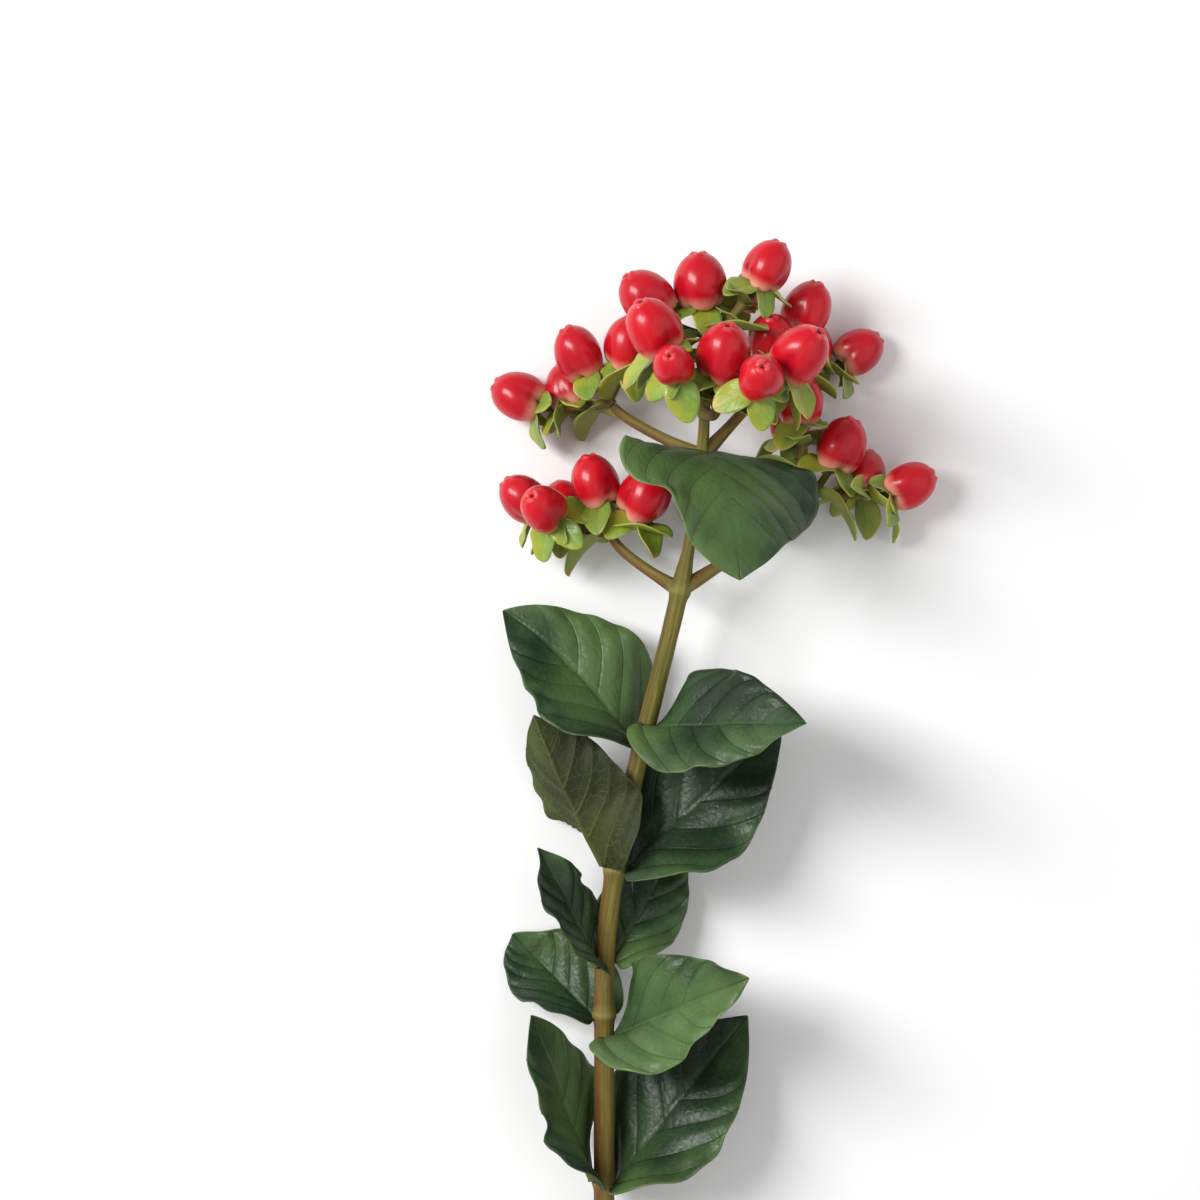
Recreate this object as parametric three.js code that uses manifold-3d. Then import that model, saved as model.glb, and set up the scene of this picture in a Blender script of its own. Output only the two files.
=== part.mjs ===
// A cut stem of hypericum in fruit, lying on a table. Millimetres, +Z up, the table at Z = 0.
// The stem runs along +Y from its slanted cut to its head of berries. Pairs of clasping leaves stand on
// its joints, and six branches near the top each carry one cyme: berries on forked stalks, every berry
// seated on five sepals. The head and the cut end carry the stem, and what would reach below the table
// is pressed flat on it.

import * as THREE from "three";
import { mergeVertices } from "three/addons/utils/BufferGeometryUtils.js";
import Module from "manifold-3d";

const wasm = await Module();
wasm.setup();

// ---------------------------------------------------------------- driving dimensions (mm, degrees)

const gap = 0.3; // air left between two pieces that meet

// Main stem, by height above the cut
const stemLength = 302;
const cutRadius = 2.05;
const topRadius = 1.4;
const thinning = [252, 259, 0.72]; // between these heights it thins to this share, as its branches part
const restHeight = 1.62; // of the stem's line over the table, at the cut
const forkHeight = 18; // of the stem's line over the table, at the first fork
const firstFork = 250;
const cutSlant = 35;
const leanSide = 21; // how far the stem leans over to its right
const leanFrom = 165;
const leanTo = 290;
const scarJoints = [30, 60]; // joints whose leaves were stripped
const leafJoints = [91, 124, 160, 191, 218.5, firstFork, 278];
const jointSwell = 0.45;
const jointReach = 1.6;

// Leaves
const leafThick = 0.6;
const leafLobe = 2.1; // how far the base lobes reach back round the stem
const leafStalkHalf = 1.2;
const leafTipHalf = 0.3;

// Berries and what carries them
const berryRadii = [5.6, 5.2, 4.6]; // on the first, second and third stalks of a cyme
const berryTall = 1.1; // half height over half width
const berrySpread = 0.45; // how much a berry's radius varies
const berryFull = 0.84; // below 1 its ends are fuller than an ellipse's
const stalkRadius = 0.75;
const stalkSides = 4;
const branchRoot = 1.3; // radius of a branch at the stem
const branchRadius = 1.05; // and where its cyme begins
const branchBow = 0.2; // how far a branch bows out of the straight line to its cyme
const tableSink = 0.45; // how much a berry that carries weight is flattened
const tableAir = 0.2; // under everything else
const crowdRounds = 120;

// ---------------------------------------------------------------- small helpers

const rad = THREE.MathUtils.degToRad;
const { lerp, smoothstep } = THREE.MathUtils;
const vec = (x, y, z) => new THREE.Vector3(x, y, z);
const UP = vec(0, 0, 1);

// A number from -1 to 1 that depends only on n, so every run grows the same stem.
function draw(n) {
  const wave = Math.sin(n * 12.9898 + 4.1414) * 43758.5453;
  return 2 * (wave - Math.floor(wave)) - 1;
}

// a*x + b*y of two vectors
const blend = (x, a, y, b) => x.clone().multiplyScalar(a).addScaledVector(y, b);

// A unit vector square to `line`, turned by `angle` degrees from the horizontal one.
function squareTo(line, angle) {
  const level = line.clone().cross(UP);
  if (level.length() < 0.05) level.set(1, 0, 0);
  level.normalize();
  const other = level.clone().cross(line).normalize();
  return blend(level, Math.cos(rad(angle)), other, Math.sin(rad(angle)));
}

// ---------------------------------------------------------------- solids

const GREEN = wasm.Manifold.reserveIDs(2);
const RED = GREEN + 1;

// A closed solid from points and triangles, its faces turned outwards. The last triangles may be red.
function solid(points, green, red = []) {
  const triangles = [...green, ...red];
  const volume = triangles.reduce((sum, [a, b, c]) => {
    return sum + points[a].dot(points[b].clone().cross(points[c]));
  }, 0);
  const faces = volume < 0 ? triangles.map(([a, b, c]) => [a, c, b]) : triangles;
  const mesh = new wasm.Mesh({
    numProp: 3,
    vertProperties: new Float32Array(points.flatMap((p) => p.toArray())),
    triVerts: new Uint32Array(faces.flat()),
    runIndex: new Uint32Array([0, 3 * green.length, 3 * triangles.length].slice(0, red.length ? 3 : 2)),
    runOriginalID: new Uint32Array([GREEN, RED].slice(0, red.length ? 2 : 1)),
  });
  return new wasm.Manifold(mesh);
}

// Triangles between rings of equal size, one after the other.
function ringWalls(rings) {
  const count = rings[0].length;
  const walls = [];
  for (let i = 0; i + 1 < rings.length; i++)
    for (let j = 0; j < count; j++) {
      const [a, b] = [i * count + j, i * count + ((j + 1) % count)];
      walls.push([a, b, b + count], [a, b + count, a + count]);
    }
  return walls;
}

// A round body through rings, closed by a point at each end.
function roundBody(rings, first, last) {
  const count = rings[0].length;
  const points = [...rings.flat(), first, last];
  const ends = [points.length - 2, points.length - 1];
  const triangles = ringWalls(rings);
  for (let j = 0; j < count; j++) {
    const k = (j + 1) % count;
    const lastRing = (rings.length - 1) * count;
    triangles.push([k, j, ends[0]], [lastRing + j, lastRing + k, ends[1]]);
  }
  return solid(points, triangles);
}

// A ring of points round `centre`, square to `line`. radius may depend on the angle.
function ring(centre, line, radius, sides) {
  const [a, b] = [squareTo(line, 0), squareTo(line, 90)];
  return Array.from({ length: sides }, (_, j) => {
    const angle = (2 * Math.PI * j) / sides;
    const r = typeof radius === "function" ? radius(angle) : radius;
    return centre
      .clone()
      .addScaledVector(a, r * Math.cos(angle))
      .addScaledVector(b, r * Math.sin(angle));
  });
}

// A stalk along a three.js curve, from one radius to another.
function stalk(curve, from, to, steps, sides) {
  const rings = Array.from({ length: steps + 1 }, (_, i) => {
    const t = i / steps;
    return ring(curve.getPoint(t), curve.getTangent(t), lerp(from, to, t), sides);
  });
  return roundBody(rings, curve.getPoint(0), curve.getPoint(1));
}

// The two faces of a blade over a grid of points, rows running from its base to its tip.
function bladeFaces(grid) {
  const [rows, columns] = [grid.length, grid[0].length];
  const at = (i, j) => grid[Math.min(Math.max(i, 0), rows - 1)][Math.min(Math.max(j, 0), columns - 1)];
  return [leafThick / 2, -leafThick / 2].map((offset) =>
    grid.flatMap((row, i) =>
      row.map((point, j) => {
        const along = at(i + 1, j).clone().sub(at(i - 1, j));
        const across = at(i, j + 1).clone().sub(at(i, j - 1));
        return point.clone().addScaledVector(along.cross(across).normalize(), offset);
      }),
    ),
  );
}

// A blade of even thickness, both faces split along the same diagonals.
function bladeSolid(grid) {
  const [rows, columns] = [grid.length, grid[0].length];
  const under = rows * columns;
  const triangles = [];
  for (let i = 0; i + 1 < rows; i++)
    for (let j = 0; j + 1 < columns; j++) {
      const [a, d] = [i * columns + j, (i + 1) * columns + j];
      const [b, c] = [a + 1, d + 1];
      triangles.push([a, b, c], [a, c, d]);
      triangles.push([under + a, under + c, under + b], [under + a, under + d, under + c]);
    }
  const rim = [];
  for (let j = 0; j < columns; j++) rim.push(j);
  for (let i = 1; i < rows; i++) rim.push(i * columns + columns - 1);
  for (let j = columns - 2; j >= 0; j--) rim.push((rows - 1) * columns + j);
  for (let i = rows - 2; i > 0; i--) rim.push(i * columns);
  rim.forEach((a, n) => {
    const b = rim[(n + 1) % rim.length];
    triangles.push([a, under + a, under + b], [a, under + b, b]);
  });
  return solid(bladeFaces(grid).flat(), triangles);
}

// A berry on its calyx. Every sepal's grid is two points wide, and its root is a piece of the calyx's
// rim. The rings of the berry have as many points as that rim and start beside its first one.
function fruitSolid(grids, rings, bottom, top) {
  const rows = grids[0].length;
  const count = grids.length;
  const points = grids.flatMap((grid) => bladeFaces(grid).flat());
  const at = (k, side, i, j) => (((k % count) * 2 + side) * rows + i) * 2 + j;
  const green = [];
  const quad = (a, b, c, d) => green.push([a, b, c], [a, c, d]);
  const bottomPoint = points.push(bottom) - 1;
  for (let k = 0; k < count; k++) {
    const [upper, under] = [0, 1].map((side) => (i, j) => at(k, side, i, j));
    for (let i = 0; i + 1 < rows; i++) {
      quad(upper(i, 0), upper(i, 1), upper(i + 1, 1), upper(i + 1, 0));
      green.push([under(i, 0), under(i + 1, 1), under(i, 1)]);
      green.push([under(i, 0), under(i + 1, 0), under(i + 1, 1)]);
      quad(upper(i, 0), upper(i + 1, 0), under(i + 1, 0), under(i, 0));
      quad(upper(i, 1), under(i, 1), under(i + 1, 1), upper(i + 1, 1));
    }
    quad(upper(rows - 1, 0), upper(rows - 1, 1), under(rows - 1, 1), under(rows - 1, 0));
    const nextUnder = at(k + 1, 1, 0, 1);
    quad(at(k + 1, 0, 0, 1), upper(0, 0), under(0, 0), nextUnder);
    green.push([bottomPoint, under(0, 0), under(0, 1)], [bottomPoint, nextUnder, under(0, 0)]);
  }
  const rim = grids.flatMap((_, k) => [at(k, 0, 0, 1), at(k, 0, 0, 0)]);
  const first = points.length;
  points.push(...rings.flat(), top);
  const ringAt = (i, j) => (i < 0 ? rim[j % rim.length] : first + i * rim.length + (j % rim.length));
  const red = [];
  for (let i = -1; i + 1 < rings.length; i++)
    for (let j = 0; j < rim.length; j++) {
      const [a, b, c, d] = [ringAt(i, j), ringAt(i, j + 1), ringAt(i + 1, j + 1), ringAt(i + 1, j)];
      (i < 0 ? green : red).push([a, b, c], [a, c, d]);
    }
  for (let j = 0; j < rim.length; j++)
    red.push([ringAt(rings.length - 1, j), ringAt(rings.length - 1, j + 1), points.length - 1]);
  return solid(points, green, red);
}

// ---------------------------------------------------------------- leaves, bracts and sepals

// Height over the table of a point that has been pressed on it.
function pressed(z, floor = 0.5, soft = 2) {
  return floor + soft * Math.log1p(Math.exp((z - floor) / soft));
}

// The leaf's line and its frame at each station from 0 (base) to 1 (tip). `rise` is the angle from `axis`
// at the base, `bend` how much it grows to the tip, `sweep` a bend sideways, `twist` a turn of the face,
// which is done the sooner the larger `haste` is.
function midrib(blade, stations) {
  const { base, axis, out, length, rise, bend = 0, sweep = 0, twist = 0, haste = 3 } = blade;
  const side = axis.clone().cross(out);
  const frame = (v) => {
    const [lift, yaw] = [rad(rise + bend * v), rad(sweep * v)];
    const turn = rad(twist * (1 - (1 - v) ** haste));
    const forward = blend(axis, Math.cos(lift), out, Math.sin(lift));
    const face = blend(axis, Math.sin(lift), out, -Math.cos(lift));
    const across = blend(side, Math.cos(yaw), forward, -Math.sin(yaw));
    return {
      along: blend(forward, Math.cos(yaw), side, Math.sin(yaw)),
      across: blend(across, Math.cos(turn), face, Math.sin(turn)),
      face: blend(face, Math.cos(turn), across, -Math.sin(turn)),
    };
  };
  const substeps = 4;
  const point = base.clone();
  let v = 0;
  return stations.map((station) => {
    const step = (station - v) / substeps;
    for (let n = 0; n < substeps; n++, v += step)
      point.addScaledVector(frame(v + step / 2).along, length * step);
    v = station;
    return { ...frame(v), point: point.clone(), v };
  });
}

// Half width of an ovate blade, 1 at its widest, 0 at both ends.
const ovate = (v, widest, round) =>
  (v / widest) ** round * ((1 - v) / (1 - widest)) ** ((round * (1 - widest)) / widest);

// The grid of points of a blade: folded along its midrib, waved along its edges, lobed at its base. `curl`
// rolls up a lobe on its left side, and `waist` draws in the margin below that lobe.
function bladeGrid(blade, stations, columns) {
  const { width, widest = 0.39, round = 0.55, fold = 0, lobe = 0 } = blade;
  const { wave = 0, waves = 2, phase = 0, curl = 0, waist = 0 } = blade;
  const { stalkHalf = 0.6, tipHalf = 0.3, press = true, neighbour = null } = blade;
  return midrib(blade, stations).map(({ point, along, across, face, v }) => {
    const room = neighbour ? neighbour(point) : Infinity;
    const half = Math.min(lerp(stalkHalf, tipHalf, v) + (width / 2) * ovate(v, widest, round), room);
    const lobeShare = (v / 0.04) * Math.exp(1 - v / 0.04);
    const curlShare = Math.exp(-(((v - 0.22) / 0.14) ** 2));
    const waistShare = Math.exp(-(((v - 0.58) / 0.2) ** 2));
    return Array.from({ length: columns + 1 }, (_, j) => {
      const u = (2 * j) / columns - 1;
      const edge = Math.abs(u);
      const left = Math.max(-u, 0);
      const drawnIn = 1 - waist * left * waistShare;
      const roll = curl * left ** 1.6 * curlShare;
      const ripple = wave * edge ** 2 * Math.sin(2 * Math.PI * (waves * v + phase + (u < 0 ? 0.37 : 0)));
      const place = point
        .clone()
        .addScaledVector(across, u * half * drawnIn * Math.cos(rad(fold)))
        .addScaledVector(face, edge * half * Math.sin(rad(fold)) + roll)
        .addScaledVector(face, ripple * Math.sin(Math.PI * v) ** 0.5)
        .addScaledVector(along, -lobe * edge ** 2 * lobeShare);
      if (press) place.z = pressed(place.z);
      return place;
    });
  });
}

// ---------------------------------------------------------------- the stem's line

// A point on the stem's line, by its height above the cut.
function stemPoint(height) {
  const lean = smoothstep(height, leanFrom, leanTo) - smoothstep(firstFork, leanFrom, leanTo);
  const lift = restHeight + (forkHeight - restHeight) * Math.max(height / firstFork, 0) ** 1.25;
  return vec(leanSide * lean, height, lift);
}

const stemLine = (height) => stemPoint(height + 1).sub(stemPoint(height - 1)).normalize();

// The stem's radius: it tapers, thins past the first fork and swells at each joint.
function stemRadius(height) {
  const [thinFrom, thinTo, share] = thinning;
  const thin = lerp(1, share, smoothstep(height, thinFrom, thinTo));
  const taper = thin * lerp(cutRadius, topRadius, (height / stemLength) ** 3);
  const swell = [...scarJoints, ...leafJoints].reduce(
    (sum, joint) => sum + jointSwell * Math.exp(-(((height - joint) / jointReach) ** 2)),
    0,
  );
  return taper + swell;
}

// ---------------------------------------------------------------- leaves on the stem

// `around` is the angle from the right-hand side towards the sky.
const leaves = [
  {
    name: "leaf_1_front", joint: 279, around: 77, length: 42, width: 43,
    rise: 90, bend: 76, twist: -6, fold: -6, wave: 3, waves: 1.3, curl: 6, waist: 0.3,
  },
  {
    name: "leaf_1_back", joint: 276, around: 290, length: 35, width: 26,
    rise: 118, bend: 30, twist: 12, fold: 6,
  },
  {
    name: "leaf_2_front", joint: 221.5, around: 54, length: 43, width: 23.5,
    rise: 73, bend: 2, twist: 72, fold: 10, sweep: 16, haste: 9,
  },
  {
    name: "leaf_2_back", joint: 217, around: 186, length: 40, width: 28,
    rise: 46, bend: 26, twist: -58, fold: 12, haste: 5,
  },
  {
    name: "leaf_3_right", joint: 190.5, around: -8, length: 45, width: 30,
    rise: 36, bend: 4, twist: 70, fold: 9,
  },
  {
    name: "leaf_3_left", joint: 191, around: 172, length: 36, width: 27,
    rise: 38, bend: -8, twist: 58, fold: 26,
  },
  {
    name: "leaf_4_front", joint: 155, around: 44, length: 41, width: 24,
    rise: 64, bend: 0, twist: 78, fold: 14, sweep: 6, haste: 6,
  },
  {
    name: "leaf_4_back", joint: 158, around: 220, length: 31, width: 22,
    rise: 56, bend: 4, twist: -46, fold: 23,
  },
  {
    name: "leaf_4_small_left", joint: 170, around: 146, length: 30, width: 16,
    rise: 28, bend: 2, twist: -74, fold: 8,
  },
  {
    name: "leaf_4_small_right", joint: 171, around: -38, length: 32, width: 17,
    rise: 36, bend: 0, twist: 60, fold: 4,
  },
  {
    name: "leaf_5_left", joint: 124, around: 162, length: 40, width: 26,
    rise: 21, bend: 0, twist: -52, fold: 8,
  },
  {
    name: "leaf_5_right", joint: 123, around: 2, length: 46, width: 30,
    rise: 36, bend: 4, twist: 68, fold: 9,
  },
  {
    name: "leaf_6_front", joint: 91, around: 118, length: 42, width: 27,
    rise: 44, bend: 26, twist: -48, fold: 12,
  },
  {
    name: "leaf_6_back", joint: 91, around: 300, length: 43, width: 28,
    rise: 58, bend: 8, twist: 52, fold: 6,
  },
];
const leafStations = [0, 0.055, 0.16, 0.33, 0.52, 0.71, 0.88, 1];
const leafColumns = 4;
const leafRipple = { wave: 1.3, waves: 1.9, widest: 0.365 };
const leafEnds = { stalkHalf: leafStalkHalf, tipHalf: leafTipHalf, lobe: leafLobe };

// The grid of a leaf. Its base stands just off the stem.
function leafGrid(leaf, index) {
  const axis = stemLine(leaf.joint);
  const right = axis.clone().cross(UP).normalize();
  const up = right.clone().cross(axis);
  const out = blend(right, Math.cos(rad(leaf.around)), up, Math.sin(rad(leaf.around)));
  const base = stemPoint(leaf.joint).addScaledVector(out, stemRadius(leaf.joint));
  const variety = { phase: 0.5 * draw(index + 40), sweep: 12 * draw(index + 60) };
  const shape = { ...leafEnds, ...leafRipple, ...variety, ...leaf };
  return bladeGrid({ ...shape, base, axis, out }, leafStations, leafColumns);
}

const leafGrids = leaves.map(leafGrid);

// ---------------------------------------------------------------- the head: branches and cymes

// Each branch leaves the stem at `from` and ends at `tip`, facing `aim`. Its cyme carries one berry at
// the fork and `sides` berries on its two side stalks, which lie in a plane turned by `turn` about the aim.
const cymes = [
  {
    name: "left", from: 250, tip: vec(-14, 261, 12),
    aim: vec(-0.35, 0.93, -0.05), turn: 0, sides: [1, 3],
  },
  {
    name: "right", from: 250, tip: vec(28, 270, 12),
    aim: vec(0.6, 0.8, -0.05), turn: -12, sides: [2, 2],
  },
  {
    name: "upper_left", from: 278, tip: vec(-14, 289, 12),
    aim: vec(-0.6, 0.78, -0.1), turn: 25, sides: [1, 2],
  },
  {
    name: "upper_right", from: 278, tip: vec(20, 296, 12),
    aim: vec(0.5, 0.85, -0.08), turn: -30, sides: [2, 1],
  },
  {
    name: "crown", from: 287, tip: vec(7, 287, 35),
    aim: vec(0.1, 0.85, 0.52), turn: 8, sides: [3, 3],
  },
  {
    name: "top", from: stemLength, tip: stemPoint(stemLength),
    aim: vec(-0.08, 1, 0.02), turn: 0, sides: [2, 1],
  },
];
const branched = (cyme) => cyme.name !== "top";
const standsOnTable = ["left", "right", "upper_left", "upper_right"]; // each on its lowest berry
const middleStalk = 6.5; // from a fork to its own berry
const sideStalk = 9.5; // from a fork to the berry or fork at its side
const smallStalk = 5.5;
const sideAngle = 52;

// The curve of a branch, from the stem's line to the cyme's fork.
function branchCurve({ from, tip, aim }) {
  const start = stemPoint(from);
  const bend = blend(tip, 1, aim, -start.distanceTo(tip) * branchBow);
  return new THREE.QuadraticBezierCurve3(start, bend, tip);
}

// Lists a cyme's berries and forks by the rule above.
function growCyme(cyme, index) {
  cyme.aim.normalize();
  const berries = [];
  const forks = [{ point: cyme.tip, aim: cyme.aim, order: 0 }];
  const addBerry = (fork, direction, reach, order) => {
    const number = 10 * index + berries.length;
    const radius = berryRadii[order] + berrySpread * draw(number);
    const tall = radius * berryTall * (1 + 0.05 * draw(number + 0.5));
    const centre = fork.point.clone().addScaledVector(direction, reach + tall);
    berries.push({ cyme: index, number, fork, radius, tall, centre, home: centre.clone() });
  };
  addBerry(forks[0], cyme.aim, middleStalk, 0);
  cyme.sides.forEach((count, k) => {
    const across = squareTo(cyme.aim, cyme.turn + 180 * k);
    const away = blend(cyme.aim, Math.cos(rad(sideAngle)), across, Math.sin(rad(sideAngle)));
    if (count === 1) return addBerry(forks[0], away, sideStalk, 1);
    const aim = blend(away, 0.8, cyme.aim, 0.3).normalize();
    const fork = { point: cyme.tip.clone().addScaledVector(away, sideStalk), aim, order: 1 };
    forks.push(fork);
    addBerry(fork, aim, smallStalk, 1);
    for (let n = 1; n < count; n++) {
      const across = squareTo(aim, cyme.turn + 90 + 180 * n);
      const away = blend(aim, Math.cos(rad(sideAngle)), across, Math.sin(rad(sideAngle)));
      addBerry(fork, away, smallStalk, 2);
    }
  });
  return { ...cyme, berries, forks };
}

const grown = cymes.map(growCyme);
const berries = grown.flatMap((cyme) => cyme.berries);

// A berry points away from its fork, a little up the stem and towards the light.
function aimBerry(berry) {
  berry.aim = berry.centre.clone().sub(berry.fork.point).normalize();
  berry.aim.addScaledVector(vec(0, 1, 0), 0.25).addScaledVector(UP, 0.3).normalize();
  berry.seat = berry.centre.clone().addScaledVector(berry.aim, -berry.tall * 0.86);
}

// Half height of a berry over the table.
const standing = ({ radius, tall, aim }) => Math.hypot(radius * Math.sqrt(1 - aim.z ** 2), tall * aim.z);

// Moves a berry off a point until it is `reach` away from it, by `share` of what is missing.
function pushOff(berry, point, reach, share) {
  const apart = berry.centre.clone().sub(point);
  const short = reach - apart.length();
  if (short > 0) berry.centre.addScaledVector(apart.normalize(), short * share);
}

// What a berry keeps clear of besides the others: leaves, the stem, branches and other cymes' stalks.
const leafDots = leafGrids.flat(2);
const woodDots = grown.flatMap((cyme, index) => {
  const along = branched(cyme) ? [0.2, 0.4, 0.6, 0.8].map((t) => branchCurve(cyme).getPoint(t)) : [];
  const links = cyme.forks.slice(1).flatMap(({ point }) => [cyme.tip.clone().lerp(point, 0.5), point]);
  return [...along, ...links].map((point) => ({ point, cyme: index }));
});
const nearest = vec(0, 0, 0);

// Berries crowd: each round they spring back towards their homes, then push each other away.
for (let round = 0; round < crowdRounds; round++) {
  berries.forEach((berry) => {
    berry.centre.lerp(berry.home, 0.02);
    aimBerry(berry);
  });
  for (const a of berries)
    for (const b of berries) {
      if (a === b) continue;
      const kin = a.cyme === b.cyme;
      pushOff(a, b.centre, a.radius + b.radius + (kin ? 0.8 : 2), 0.5);
      pushOff(a, b.seat.clone().addScaledVector(b.aim, -1.5), a.radius + (kin ? 2 : 3.4), 0.5);
      new THREE.Line3(b.fork.point, b.seat).closestPointToPoint(a.centre, true, nearest);
      if (!kin) pushOff(a, nearest, a.radius + 2.4, 0.6);
    }
  for (const berry of berries) {
    leafDots.forEach((dot) => pushOff(berry, dot, berry.tall + 1.6, 0.6));
    woodDots
      .filter(({ cyme }) => cyme !== berry.cyme)
      .forEach(({ point }) => pushOff(berry, point, berry.radius + 2.4, 0.6));
    const beside = Math.min(berry.centre.y, stemLength - 2);
    if (branched(grown[berry.cyme])) pushOff(berry, stemPoint(beside), berry.radius + 3.2, 1);
    berry.centre.z = Math.max(berry.centre.z, standing(berry) + tableAir);
  }
}
grown
  .filter(({ name }) => standsOnTable.includes(name))
  .forEach((cyme) => {
    const height = (berry) => berry.centre.z - standing(berry);
    const lowest = cyme.berries.reduce((a, b) => (height(a) < height(b) ? a : b));
    lowest.centre.z = standing(lowest) - tableSink;
  });
berries.forEach(aimBerry);

// ---------------------------------------------------------------- keeping sepals and bracts clear

// Balls that a blade stays clear of: `own` is the berry or cyme that may touch it all the same.
const obstacles = [];
const bladeRoom = 0.9; // between the middle of a blade and what it passes
const kinRoom = 0.6; // the same, within one cyme
const bladeSizes = [1, 0.85, 0.7, 0.55, 0.4, 0.12]; // tried in turn, the last one kept anyhow
const bladeTurns = [0, 12, 24, -14];
const addObstacle = (centre, radius, own = null) => obstacles.push({ centre, radius, own });

// What belongs to one berry of a cyme.
function addOwned(point, radius, cyme, berry) {
  addObstacle(point, radius + bladeRoom, cyme);
  addObstacle(point, radius + kinRoom, berry);
}

// True if a blade would touch the table or an obstacle that isn't one of its own.
function blocked(grid, own) {
  const near = (point) => obstacles.some((ball) => {
    return !own.includes(ball.own) && point.distanceTo(ball.centre) < ball.radius;
  });
  return grid.slice(1).some((row) => row.some((point) => point.z < 0.9 || near(point)));
}

// Turns a blade up or down about its root, and then shortens it, until it is clear. Blades of one cyme
// may come closer to each other than to the rest.
function clearBlade(blade, stations, columns, own) {
  for (const size of bladeSizes)
    for (const turn of bladeTurns) {
      const { length, width } = blade;
      const tried = { ...blade, rise: blade.rise + turn, length: length * size, width: width * size };
      const grid = bladeGrid({ ...tried, press: false }, stations, columns);
      if (size > bladeSizes.at(-1) && blocked(grid, own)) continue;
      grid.slice(1).flat().forEach((point) => addOwned(point, 0.4, own[0], null));
      return grid;
    }
}

// ---------------------------------------------------------------- pieces

// Joins solids in one, with no hollow left sealed inside it.
function joinAll(solids) {
  const bodies = solids.reduce((sum, next) => sum.add(next)).decompose();
  return bodies.reduce((largest, next) => (next.volume() > largest.volume() ? next : largest));
}

// A solid from a three.js box.
function boxSolid(box) {
  const merged = mergeVertices(box.deleteAttribute("normal").deleteAttribute("uv"));
  const triples = ({ array }) =>
    Array.from({ length: array.length / 3 }, (_, i) => Array.from(array.slice(3 * i, 3 * i + 3)));
  return solid(triples(merged.getAttribute("position")).map((xyz) => vec(...xyz)), triples(merged.index));
}

const tableBlock = boxSolid(new THREE.BoxGeometry(900, 900, 20).translate(0, 0, -10));

// The stem and its branches. `spare` thickens it, to cut its room out of a neighbour.
function makeStem(spare = 0) {
  const heights = [-4];
  for (let height = 20; height < stemLength - 4; height += 25) heights.push(height);
  [...scarJoints, ...leafJoints].forEach((joint) => heights.push(joint - 1.8, joint, joint + 1.8));
  heights.push(thinning[1], stemLength - gap / 2 + spare);
  heights.sort((a, b) => a - b);
  const kept = heights.filter((height, i) => i === 0 || height - heights[i - 1] > 1.5);
  const rings = kept.map((height) => {
    const radius = stemRadius(Math.max(height, 0)) + spare;
    const section = (angle) => radius * (1 + 0.05 * Math.cos(2 * angle));
    return ring(stemPoint(height), stemLine(height), section, 8);
  });
  const main = roundBody(rings, stemPoint(kept[0]), stemPoint(kept.at(-1)));
  const branches = grown
    .filter(branched)
    .map((cyme) => stalk(branchCurve(cyme), branchRoot + spare, branchRadius + spare, 4, 6));
  return joinAll([main, ...branches]);
}

// What lies below the slanted cut.
const cutBlock = boxSolid(
  new THREE.BoxGeometry(30, 40, 30)
    .translate(0, -20, 0)
    .rotateX(rad(-cutSlant))
    .translate(stemPoint(0).x, 2, restHeight),
);

// A berry's stalk, from its fork into the berry.
function stalkCurve({ fork, centre, aim, tall }) {
  const end = centre.clone().addScaledVector(aim, -tall * 0.72);
  const start = fork.point.clone().addScaledVector(fork.aim, 1.2);
  return new THREE.QuadraticBezierCurve3(start, blend(end, 1, aim, -end.distanceTo(start) * 0.45), end);
}

// The stalk from a cyme's fork to one of its side forks.
function linkCurve(cyme, fork) {
  const start = cyme.tip.clone().addScaledVector(cyme.aim, 1.2);
  const end = fork.point.clone().addScaledVector(fork.aim, 1.6);
  return new THREE.QuadraticBezierCurve3(start, blend(end, 1, fork.aim, -5), end);
}

const sepalStations = [0, 0.45, 1];
const sepalSizes = [[9, 5.6], [7.2, 4.4], [8.6, 5.4], [6.6, 4], [8, 5]];
const hubRadius = 1.9;
const rimHalfAngle = 18; // between a sepal's middle and the points of the berry's rings beside it
const berryPolars = [36, 72, 108, 144]; // rings of a berry, degrees from its base
const bractStations = [0, 0.4, 1];
const bractSizes = [[13, 7.4], [8.5, 4.4]]; // at the first and the second forks

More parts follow.
